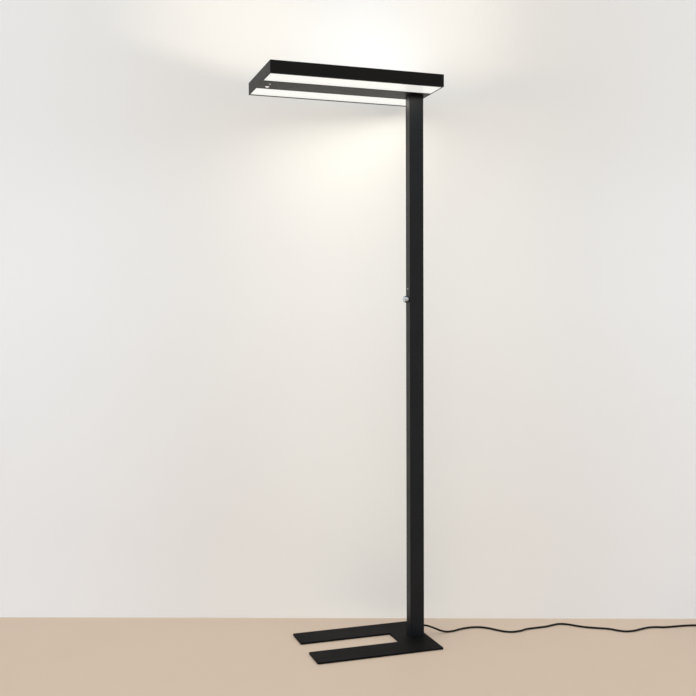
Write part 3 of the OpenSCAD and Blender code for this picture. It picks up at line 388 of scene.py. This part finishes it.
def turned(name, origin, axis, profile, segments, factor):
    """A turned body. The profile lists places along the axis with their radii, and factor
    scales the radius at each place and angle."""
    side = axis.orthogonal().normalized()
    other = axis.cross(side)
    rings = []
    for along, radius in profile:
        ring = []
        for k in range(segments):
            angle = 2 * math.pi * k / segments
            out = math.cos(angle) * side + math.sin(angle) * other
            ring.append(origin + along * axis + radius * factor(along, angle) * out)
        rings.append(ring)
    return ring_mesh(name, rings)


def from_post(place):
    """A place that is measured from the post's axis, in the frame of the whole lamp."""
    return place + Vector((POST_X, 0, 0))


def add_piece(name, data, slot, *replaced):
    """Links a new piece that rides on the lamp and stands for some of its CAD nodes."""
    piece = bpy.data.objects.new(name, data)
    bpy.context.scene.collection.objects.link(piece)
    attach(piece, "lamp")
    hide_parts(*replaced)
    return piece


# Cord


def coil_point(turn):
    """A point of the coil, which spirals in on the floor and out again on top."""
    inward = turn if turn < COIL_TURNS else 2 * COIL_TURNS - turn
    radius = COIL_OUTER - COIL_PITCH * inward
    climbed = min(1, max(0, (turn - COIL_TURNS + COIL_CLIMB) / (2 * COIL_CLIMB)))
    angle = COIL_HEADING + math.pi / 2 - 2 * math.pi * turn
    around = Vector((math.cos(angle), math.sin(angle), 0))
    return COIL_CENTRE + radius * around + Vector((0, 0, COIL_Z + COIL_PITCH * climbed))


def plug_back():
    """Where the cord ends in the back of the plug, measured from the post's axis."""
    end = coil_point(2 * COIL_TURNS) + (COIL_OUT + COIL_STRAIGHT) * COIL_ALONG
    return Vector((end.x, end.y, PLUG_R))


def cord_path():
    """The cord's centreline from the post to the plug, measured from the post's axis."""
    start = [CORD_EXIT + Vector((k * CORD_D / 2, 0, 0)) for k in range(CORD_EXIT_POINTS)]
    drop = [Vector(point) for point in CORD_DROP]
    floor = [Vector((x, y, CORD_Z)) for x, y in CORD_FLOOR]
    coil_in = COIL_START + Vector((0, 0, COIL_Z)) - COIL_STRAIGHT * COIL_ALONG
    before = coil_in - COIL_LEAD * COIL_ALONG
    run = smooth_path(start + drop + floor + [before, coil_in], CORD_STEPS)
    for point in run:
        point.z = max(point.z, CORD_Z)
    coil = [coil_point(i / COIL_RINGS) for i in range(2 * COIL_TURNS * COIL_RINGS + 1)]
    end = coil[-1]
    tail = []
    for t in evenly(COIL_OUT_RINGS, 0, 1)[1:]:
        rise = smooth_step(t) * (PLUG_R - end.z)
        tail.append(end + t * COIL_OUT * COIL_ALONG + Vector((0, 0, rise)))
    return run + coil + tail + [plug_back()]


def make_cord():
    """The cord. Its bevel is 1 m and each point's radius is the cord's, so that its box is true."""
    path = cord_path()
    curve = bpy.data.curves.new("mains_cord", "CURVE")
    curve.dimensions = "3D"
    curve.bevel_depth = 1
    curve.bevel_resolution = CORD_BEVEL_STEPS
    curve.use_fill_caps = True
    spline = curve.splines.new("POLY")
    spline.points.add(len(path) - 1)
    for point, place in zip(spline.points, path):
        point.co = (*from_post(place), 1)
        point.radius = CORD_D / 2
    spline.use_smooth = True
    return add_piece("mains_cord", curve, "cord", "cord_run", "cord_coil")


# Plug


def plug_profile():
    """The plug's half outline, from the ribbed cord relief to the face that the pins stand in."""
    ribs = round(PLUG_RELIEF_L / PLUG_RIB_PITCH)
    quarter = evenly(PLUG_ROUND_STEPS, 0, math.pi / 2)
    profile = []
    for along in evenly(PLUG_RIB_STEPS * ribs, 0, PLUG_RELIEF_L - PLUG_NECK_L / 2):
        share = along / PLUG_RELIEF_L
        radius = PLUG_RELIEF_BACK_R + share * (PLUG_RELIEF_FRONT_R - PLUG_RELIEF_BACK_R)
        groove = max(0, -math.cos(2 * math.pi * along / PLUG_RIB_PITCH)) ** PLUG_RIB_POWER
        profile.append((along, radius - PLUG_RIB_DEPTH * groove))
    for angle in quarter:
        along = PLUG_RELIEF_L + PLUG_NECK_L * (1 - math.cos(angle)) / 2
        step = PLUG_NECK_R - PLUG_RELIEF_FRONT_R
        profile.append((along, PLUG_RELIEF_FRONT_R + step * math.sin(angle)))
    flare_start = PLUG_RELIEF_L + PLUG_NECK_L
    for t in evenly(PLUG_FLARE_STEPS, 0, 1):
        radius = PLUG_NECK_R + (PLUG_R - PLUG_NECK_R) * smooth_step(t)
        profile.append((flare_start + t * PLUG_FLARE_L, radius))
    straight_end = PLUG_FRONT - PLUG_EDGE
    for along in evenly(PLUG_BODY_STEPS, flare_start + PLUG_FLARE_L, straight_end)[1:]:
        profile.append((along, PLUG_R))
    for angle in quarter[1:]:
        along = straight_end + PLUG_EDGE * math.sin(angle)
        profile.append((along, PLUG_R - PLUG_EDGE * (1 - math.cos(angle))))
    profile.append((PLUG_FRONT, PLUG_FACE_R))
    profile.append((PLUG_FRONT - PLUG_FACE_SINK, PLUG_FACE_R - PLUG_FACE_SINK / 2))
    return profile


def plug_grip(along, angle):
    """Finger flutes round the plug, fading out towards its neck and its front."""
    start = PLUG_RELIEF_L + PLUG_NECK_L
    end = PLUG_FRONT - 2 * PLUG_EDGE
    if not start < along < end:
        return 1
    fade = math.sin(math.pi * (along - start) / (end - start)) ** PLUG_FLUTE_POWER
    return 1 - PLUG_FLUTE_DEPTH / PLUG_R * fade * (1 - math.cos(PLUG_FLUTES * angle)) / 2


def make_plug():
    """The plug's moulding, in line with the end of the cord."""
    segments = PLUG_FLUTE_SIDES * PLUG_FLUTES
    back = from_post(plug_back())
    data = turned("plug_moulding", back, COIL_ALONG, plug_profile(), segments, plug_grip)
    return add_piece("plug_moulding", data, "plug", "plug_body")


# Strap round the coil


def strap_loop(grow):
    """A rounded square round the coil's cords, clockwise from the middle of its top."""
    corner = TIE_CORNER + grow
    inner = TIE_HALF - TIE_CORNER
    loop = [Vector((0, inner + corner))]
    for quarter, (a, b) in enumerate(((1, 1), (1, -1), (-1, -1), (-1, 1))):
        for angle in evenly(TIE_CORNER_STEPS, math.pi / 2 * (1 - quarter), -math.pi / 2 * quarter):
            across = a * inner + corner * math.cos(angle)
            upward = b * inner + corner * math.sin(angle)
            loop.append(Vector((across, upward)))
    return loop


def strap_path():
    """Once round the cords, then up over its own start and down the side."""
    lap = strap_loop(TIE_T)[:TIE_CORNER_STEPS + 2]
    end = Vector((lap[-1].x, lap[-1].y - TIE_LAP))
    return strap_loop(0) + [Vector((-TIE_RAMP, TIE_HALF))] + lap + [end]


def make_strap():
    """The strap: a flat section with broken edges, carried along its path."""
    path = strap_path()
    middle = from_post(COIL_CENTRE + COIL_R * COIL_ACROSS + Vector((0, 0, COIL_Z + COIL_PITCH / 2)))
    wide = TIE_W / 2
    thick = TIE_T / 2
    section = [
        (wide, thick - TIE_EDGE), (wide - TIE_EDGE, thick),
        (TIE_EDGE - wide, thick), (-wide, thick - TIE_EDGE),
        (-wide, TIE_EDGE - thick), (TIE_EDGE - wide, -thick),
        (wide - TIE_EDGE, -thick), (wide, TIE_EDGE - thick),
    ]
    rings = []
    for i, at in enumerate(path):
        ahead = (path[min(i + 1, len(path) - 1)] - path[max(i - 1, 0)]).normalized()
        ring = []
        for across, out in section:
            a = at.x - ahead.y * out
            b = at.y + ahead.x * out
            ring.append(middle + a * COIL_ACROSS + Vector((0, 0, b)) + across * COIL_ALONG)
        rings.append(ring)
    return add_piece("cord_strap", ring_mesh("cord_strap", rings), "tie", "cord_tie")


# Motion sensor's lens


def lens_groove(share, angle):
    """Depth of the grooves between the lens's facets."""
    for row, count in enumerate(LENS_FACETS):
        if LENS_ROWS[row] <= share <= LENS_ROWS[row + 1]:
            upward = 2 * (share - LENS_ROWS[row]) / (LENS_ROWS[row + 1] - LENS_ROWS[row]) - 1
            around = 2 * ((angle / (2 * math.pi) * count + row / 2) % 1) - 1
            return LENS_GROOVE * max(abs(upward), abs(around)) ** LENS_GROOVE_POWER
    return 0


def make_motion_lens():
    """A shallow cap of many facets, hanging below the head, with its flange inside."""
    lowest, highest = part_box("pir_lens")
    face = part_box("spine")[0].z
    drop = face - lowest.z
    flange_r = (highest.x - lowest.x) / 2
    rim_r = flange_r - LENS_FLANGE_W
    ball = (rim_r ** 2 + drop ** 2) / (2 * drop)
    middle = Vector(((lowest.x + highest.x) / 2, (lowest.y + highest.y) / 2, lowest.z + ball))
    rim = math.asin(rim_r / ball)
    rounds = [2 * math.pi * k / LENS_SIDES for k in range(LENS_SIDES)]
    rings = []
    for share in evenly(LENS_RINGS, 0, 1)[1:]:
        across = math.sin(rim * share)
        down = -math.cos(rim * share)
        ring = []
        for angle in rounds:
            out = Vector((across * math.cos(angle), across * math.sin(angle), down))
            ring.append(middle + (ball - lens_groove(share, angle)) * out)
        rings.append(ring)
    flange_z = highest.z - LENS_FLANGE_T
    for radius, z in ((rim_r, flange_z), (flange_r, flange_z), (flange_r, highest.z)):
        ring = []
        for angle in rounds:
            x = middle.x + radius * math.cos(angle)
            y = middle.y + radius * math.sin(angle)
            ring.append(Vector((x, y, z)))
        rings.append(ring)
    return add_piece("motion_lens", ring_mesh("motion_lens", rings), "pir", "pir_lens")


# Nodes of materials and of the room's light


class Nodes:
    """A node tree with short ways to work out values over a surface or over the sky."""

    def __init__(self, tree, coordinates):
        self.tree = tree
        self.place = self.make("ShaderNodeTexCoord").outputs[coordinates]

    def make(self, kind):
        return self.tree.nodes.new(kind)

    def join(self, value, socket):
        """Links a node's output to a socket, or sets the socket to a plain number or colour."""
        if isinstance(value, bpy.types.NodeSocket):
            self.tree.links.new(value, socket)
        else:
            socket.default_value = value

    def axis(self, name):
        """How far the place lies along X, Y or Z."""
        node = self.make("ShaderNodeSeparateXYZ")
        self.join(self.place, node.inputs["Vector"])
        return node.outputs[name]

    def along(self, direction):
        """How far the place lies along any direction."""
        node = self.make("ShaderNodeVectorMath")
        node.operation = "DOT_PRODUCT"
        self.join(self.place, node.inputs[0])
        self.join(direction, node.inputs[1])
        return node.outputs["Value"]

    def combine(self, operation, first, second=0.0):
        """A sum with one or two values."""
        node = self.make("ShaderNodeMath")
        node.operation = operation
        self.join(first, node.inputs[0])
        self.join(second, node.inputs[1])
        return node.outputs["Value"]

    def apart(self, value, middle):
        """How far a value is from a middle, either way."""
        return self.combine("ABSOLUTE", self.combine("SUBTRACT", value, middle))

    def add(self, base, colour, amount):
        """A colour plus so much of another."""
        node = self.make("ShaderNodeVectorMath")
        node.operation = "MULTIPLY_ADD"
        self.join(colour, node.inputs[0])
        self.join(amount, node.inputs[1])
        self.join(base, node.inputs[2])
        return node.outputs["Vector"]

    def spread(self, value, low, high, start=NOISE_LOW, end=NOISE_HIGH):
        """Maps a range, the middle of a noise's own by default, to low and high."""
        node = self.make("ShaderNodeMapRange")
        self.join(value, node.inputs["Value"])
        self.join(start, node.inputs["From Min"])
        self.join(end, node.inputs["From Max"])
        self.join(low, node.inputs["To Min"])
        self.join(high, node.inputs["To Max"])
        return node.outputs["Result"]

    def ease(self, value, start, end, low=0, high=1):
        """A smooth step from low to high."""
        result = self.spread(value, low, high, start, end)
        result.node.interpolation_type = "SMOOTHSTEP"
        return result


def tint(colour, factor):
    """A darker or lighter tint of a colour."""
    return tuple(min(1, c * factor) for c in colour)


class Shader(Nodes):
    """A Principled material with short ways to add procedural detail."""

    def __init__(self, name, **sockets):
        self.material = bpy.data.materials.new(name)
        self.material.use_nodes = True
        super().__init__(self.material.node_tree, "Object")
        self.bsdf = self.tree.nodes["Principled BSDF"]
        for socket, value in sockets.items():
            self.drive(socket.replace("_", " "), value)

    def drive(self, socket, value):
        self.join(value, self.bsdf.inputs[socket])

    def mapped(self, scale=(1, 1, 1), shift=(0, 0, 0)):
        node = self.make("ShaderNodeMapping")
        self.join(self.place, node.inputs["Vector"])
        self.join(scale, node.inputs["Scale"])
        self.join(shift, node.inputs["Location"])
        return node.outputs["Vector"]

    def noise(self, scale, detail=2, place=None):
        node = self.make("ShaderNodeTexNoise")
        self.join(place or self.place, node.inputs["Vector"])
        self.join(scale, node.inputs["Scale"])
        self.join(detail, node.inputs["Detail"])
        return node.outputs["Fac"]

    def wave(self, pitch, form, direction, place=None, ragged=0):
        """Even waves of a pitch in metres: bands along an axis, or rings round it."""
        node = self.make("ShaderNodeTexWave")
        node.wave_type = form
        node.bands_direction = direction
        node.rings_direction = direction
        self.join(place or self.place, node.inputs["Vector"])
        self.join(WAVE_LENGTH / pitch, node.inputs["Scale"])
        self.join(ragged, node.inputs["Distortion"])
        return node.outputs["Fac"]

    def crossed(self, operation, pitch):
        """Waves along X and along Y, put together."""
        return self.combine(operation, self.wave(pitch, "BANDS", "X"), self.wave(pitch, "BANDS", "Y"))

    def shade(self, value, dark, light):
        """Blends two colours over the middle range of a noise."""
        node = self.make("ShaderNodeValToRGB")
        first, second = node.color_ramp.elements
        first.position = NOISE_LOW
        second.position = NOISE_HIGH
        first.color = (*dark, 1)
        second.color = (*light, 1)
        self.join(value, node.inputs["Fac"])
        return node.outputs["Color"]

    def colour_by(self, value, colour, tints):
        """Varies the base colour between two tints of a colour."""
        low, high = tints
        self.drive("Base Color", self.shade(value, tint(colour, low), tint(colour, high)))

    def rough_by(self, value, rough, sheens):
        """Varies the roughness between two factors of a level."""
        low, high = sheens
        self.drive("Roughness", self.spread(value, rough * low, rough * high))

    def bump(self, height, relief):
        strength, distance = relief
        node = self.make("ShaderNodeBump")
        self.join(height, node.inputs["Height"])
        self.join(strength, node.inputs["Strength"])
        self.join(distance, node.inputs["Distance"])
        self.drive("Normal", node.outputs["Normal"])

    def seen_directly(self):
        """1 for rays from the camera, and for reflections and clear material, else 0."""
        path = self.make("ShaderNodeLightPath").outputs
        seen = path["Is Camera Ray"]
        for ray in ("Is Glossy Ray", "Is Transmission Ray"):
            seen = self.combine("MAXIMUM", seen, path[ray])
        return seen

    def clear_from_behind(self):
        """Makes the back of each face clear."""
        mix = self.make("ShaderNodeMixShader")
        self.join(self.make("ShaderNodeNewGeometry").outputs["Backfacing"], mix.inputs["Fac"])
        self.join(self.bsdf.outputs["BSDF"], mix.inputs[1])
        self.join(self.make("ShaderNodeBsdfTransparent").outputs["BSDF"], mix.inputs[2])
        self.join(mix.outputs["Shader"], self.tree.nodes["Material Output"].inputs["Surface"])


# Materials of the lamp


def powder_coat(name, colour, gloss, rough, grain):
    """Matte powder coat: a fine pebbled skin with slight changes of gloss."""
    shader = Shader(name, Specular_IOR_Level=gloss)
    shader.colour_by(shader.noise(COAT_CLOUDS, detail=3), colour, COAT_TINTS)
    shader.rough_by(shader.noise(COAT_SHEEN_CLOUDS, detail=4), rough, COAT_SHEENS)
    shader.bump(shader.noise(grain), COAT_RELIEF)
    return shader.material


def bare_metal(name, colour, rough, stretch):
    """Plain metal with faint tool marks."""
    shader = Shader(name, Metallic=1.0)
    marks = shader.noise(METAL_MARKS, detail=3, place=shader.mapped(scale=stretch))
    shader.colour_by(marks, colour, METAL_TINTS)
    shader.rough_by(marks, rough, METAL_SHEENS)
    shader.bump(marks, METAL_RELIEF)
    return shader.material


def turned_chrome():
    """Bright plating with the fine circles of a turned face, round the knob's axis."""
    lowest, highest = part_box("dimmer_knob")
    middle = (lowest + highest) / 2
    shader = Shader("chrome", Metallic=1.0)
    from_axis = shader.mapped(shift=(0, -middle.y, -middle.z))
    circles = shader.wave(CHROME_PITCH, "RINGS", "X", from_axis, CHROME_RAGGED)
    shader.drive("Base Color", shader.shade(circles, CHROME_DARK, CHROME_LIGHT))
    shader.drive("Roughness", shader.spread(shader.noise(CHROME_CLOUDS, detail=3), *CHROME_ROUGH))
    shader.bump(circles, CHROME_RELIEF)
    return shader.material


def moulded(name, colour, rough, grain, **sockets):
    """Moulded plastic or rubber with a fine grain."""
    shader = Shader(name, **sockets)
    shader.colour_by(shader.noise(MOULD_CLOUDS), colour, MOULD_TINTS)
    shader.rough_by(shader.noise(MOULD_SHEEN_CLOUDS, detail=3), rough, MOULD_SHEENS)
    shader.bump(shader.noise(grain, detail=1), MOULD_RELIEF)
    return shader.material


def woven_tape():
    """The strap's tape: threads that cross at an even pitch."""
    shader = Shader("tie", Roughness=TAPE_ROUGH, Specular_IOR_Level=TAPE_GLOSS)
    threads = shader.crossed("MULTIPLY", TAPE_PITCH)
    shader.colour_by(threads, TAPE_COLOUR, TAPE_TINTS)
    shader.bump(threads, TAPE_RELIEF)
    return shader.material


def light_panel():
    """Opal panel of fine prisms, lit from inside and a little dimmer along its edges."""
    base = (*PANEL_BASE, 1)
    shader = Shader("opal", Roughness=PANEL_ROUGH, Base_Color=base, Emission_Strength=PANEL_STRENGTH)
    lowest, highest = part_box("diffuser_far")
    half = (highest.y - lowest.y) / 2
    aside = shader.apart(shader.combine("ABSOLUTE", shader.axis("Y")), lowest.y + half)
    lit = shader.spread(aside, PANEL_MIDDLE_LEVEL, PANEL_EDGE_LEVEL, half / 2, half)
    prisms = shader.crossed("ADD", PANEL_PRISM)
    level = shader.combine("ADD", lit, shader.combine("MULTIPLY", prisms, PANEL_PRISM_LEVEL))
    shader.drive("Emission Color", shader.shade(level, tint(PANEL_COLOUR, PANEL_DIM_TINT), PANEL_COLOUR))
    shader.bump(prisms, PANEL_RELIEF)
    return shader.material


def indicator_light():
    """Frosted lens of the small light above the knob."""
    shader = Shader("indicator_light", Roughness=INDICATOR_ROUGH, Emission_Strength=INDICATOR_STRENGTH)
    frosted = shader.shade(shader.noise(INDICATOR_CLOUDS, detail=1), INDICATOR_DARK, INDICATOR_LIGHT)
    shader.drive("Base Color", frosted)
    shader.drive("Emission Color", frosted)
    return shader.material


def make_materials():
    """One material for each slot of the record, and a darker, duller copy of the black coat for the
    head, as painted shade.
    """
    made = {}
    for make, looks in ((powder_coat, COATS), (bare_metal, METALS), (moulded, MOULDINGS)):
        for slot, look in looks.items():
            made[slot] = make(slot, **look)
    made["chrome"] = turned_chrome()
    made["opal"] = light_panel()
    made["indicator"] = indicator_light()
    made["tie"] = woven_tape()
    return made


def paint(piece, material):
    """Gives a piece one material all over."""
    piece.data.materials.clear()
    piece.data.materials.append(material)


# Stage


def stage_plane(name, corners, material):
    """A flat piece of the stage, which faces the side where its corners run anticlockwise."""
    mesh = bpy.data.meshes.new(name)
    mesh.from_pydata([tuple(c) for c in corners], [], [(0, 1, 2, 3)])
    plane = bpy.data.objects.new(name, mesh)
    mesh.materials.append(material)
    bpy.context.scene.collection.objects.link(plane)
    plane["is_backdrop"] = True


def floor_material():
    shader = Shader("pale_floor", Roughness=FLOOR_ROUGH, Specular_IOR_Level=FLOOR_GLOSS)
    shader.colour_by(shader.noise(FLOOR_CLOUDS, detail=3), FLOOR_COLOUR, FLOOR_TINTS)
    return shader.material


def wall_light(shader):
    """The wall's glow: a soft halo behind the lamp, lobes of light above it, and paler sides."""
    height = shader.axis("Z")
    along = shader.along(WALL_ALONG)
    aside = shader.apart(along, WALL_HALO_X * WALL_ALONG.x)
    glow = shader.add(WALL_BASE, WALL_RISE, shader.spread(height, 0, 1, WALL_RISE_FROM, WALL_RISE_TO))
    glow = shader.add(glow, WALL_TOP, shader.ease(height, WALL_TOP_FROM, WALL_TOP_TO))
    glow = shader.add(glow, WALL_SIDES, shader.ease(aside, WALL_SIDES_FROM, WALL_SIDES_TO))
    glow = shader.add(glow, WALL_HALO, shader.ease(aside, 0, WALL_HALO_WIDE, 1, 0))
    above = shader.combine("SUBTRACT", height, shader.combine("MULTIPLY", aside, UP_SLANT))
    lifted = shader.ease(above, UP_FOOT, UP_FULL)
    for middle, half, colour in UP_LOBES:
        lobe = shader.ease(shader.apart(along, middle), 0, half, 1, 0)
        glow = shader.add(glow, colour, shader.combine("MULTIPLY", lifted, lobe))
    level = shader.ease(shader.apart(height, BAND_Z), 0, BAND_HALF, 1, 0)
    nearby = shader.ease(aside, BAND_FROM, BAND_TO, 1, 0)
    return shader.add(glow, BAND, shader.combine("MULTIPLY", level, nearby))


def wall_material():
    """A matt pale wall that is clear from behind, so that it never hides the lamp."""
    shader = Shader("pale_wall", Roughness=WALL_ROUGH, Specular_IOR_Level=WALL_GLOSS)
    shader.colour_by(shader.noise(WALL_CLOUDS), WALL_COLOUR, WALL_TINTS)
    shader.drive("Emission Color", wall_light(shader))
    shader.drive("Emission Strength", shader.seen_directly())
    shader.clear_from_behind()
    return shader.material


def make_stage():
    """A wide floor, and a wall behind the lamp."""
    half = FLOOR_SIDE / 2
    floor = [Vector((x * half, y * half, 0)) for x, y in ((-1, -1), (1, -1), (1, 1), (-1, 1))]
    stage_plane("floor", floor, floor_material())
    middle = (WALL_FOOT_RIGHT + WALL_FOOT_LEFT) / 2
    left = middle - WALL_ALONG * WALL_LENGTH / 2
    right = middle + WALL_ALONG * WALL_LENGTH / 2
    top = Vector((0, 0, WALL_HEIGHT))
    stage_plane("wall", [left, right, right + top, left + top], wall_material())


def make_room_light():
    """Even light from the whole room, brighter overhead than at the sides. Beyond the wall it is about
    as dim and warm as the wall, so that the floor shows no step of light there when seen from behind."""
    world = bpy.data.worlds.new("soft_room")
    world.use_nodes = True
    sky = Nodes(world.node_tree, "Generated")
    level = sky.spread(sky.axis("Z"), ROOM_LOW, ROOM_HIGH, 0, 1)
    facing = sky.along(WALL_FACING)
    in_room = sky.spread(facing, 0, 1, -ROOM_BLEND, ROOM_BLEND)
    beyond = sky.spread(facing, 1, 0, -ROOM_BLEND, ROOM_BLEND)
    room = sky.add((0, 0, 0), ROOM_COLOUR, sky.combine("MULTIPLY", level, in_room))
    light = sky.add(room, ROOM_BEHIND_WALL, beyond)
    sky.join(light, world.node_tree.nodes["Background"].inputs["Color"])
    bpy.context.scene.world = world


def add_glow(node, strength, spread, upward):
    """The light that a panel throws: a soft light of the panel's size, just outside the head."""
    lowest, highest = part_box(node)
    head_low, head_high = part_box("rail_near")
    light = bpy.data.lights.new(node + "_glow", "AREA")
    light.shape = "RECTANGLE"
    light.size = highest.x - lowest.x
    light.size_y = highest.y - lowest.y
    light.color = GLOW_COLOUR
    light.energy = math.pi * light.size * light.size_y * strength
    light.spread = spread
    lamp = bpy.data.objects.new(node + "_glow", light)
    lamp.location = (lowest + highest) / 2
    lamp.location.z = head_high.z + GLOW_GAP if upward else head_low.z - GLOW_GAP
    lamp.rotation_euler.x = math.pi if upward else 0
    lamp.visible_camera = False
    bpy.context.scene.collection.objects.link(lamp)


make_camera()
cord = make_cord()
plug = make_plug()
strap = make_strap()
round(path_length(cord_path()), 2)
motion_lens = make_motion_lens()

finishes = make_materials()
for part in frame["record"]["subparts"]:
    paint(nodes[part["node"]], finishes[part["material_slot"]])
# The head's pieces get the darker copy of the coat, as painted shade
for name in HEAD_SHELL:
    paint(nodes[name], finishes["coat_head"])
paint(cord, finishes["cord"])
paint(plug, finishes["plug"])
paint(strap, finishes["tie"])
paint(motion_lens, finishes["pir"])

make_stage()
make_room_light()
for side in ("near", "far"):
    add_glow("diffuser_" + side, DOWN_GLOW, DOWN_SPREAD, upward=False)
    add_glow("uplight_" + side, UP_GLOW, UP_SPREAD, upward=True)
bpy.context.scene.view_settings.view_transform = "Standard"

boxes = {"cad": cad_box, "visual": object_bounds()}
{name: [list(corner) for corner in box] for name, box in boxes.items()}
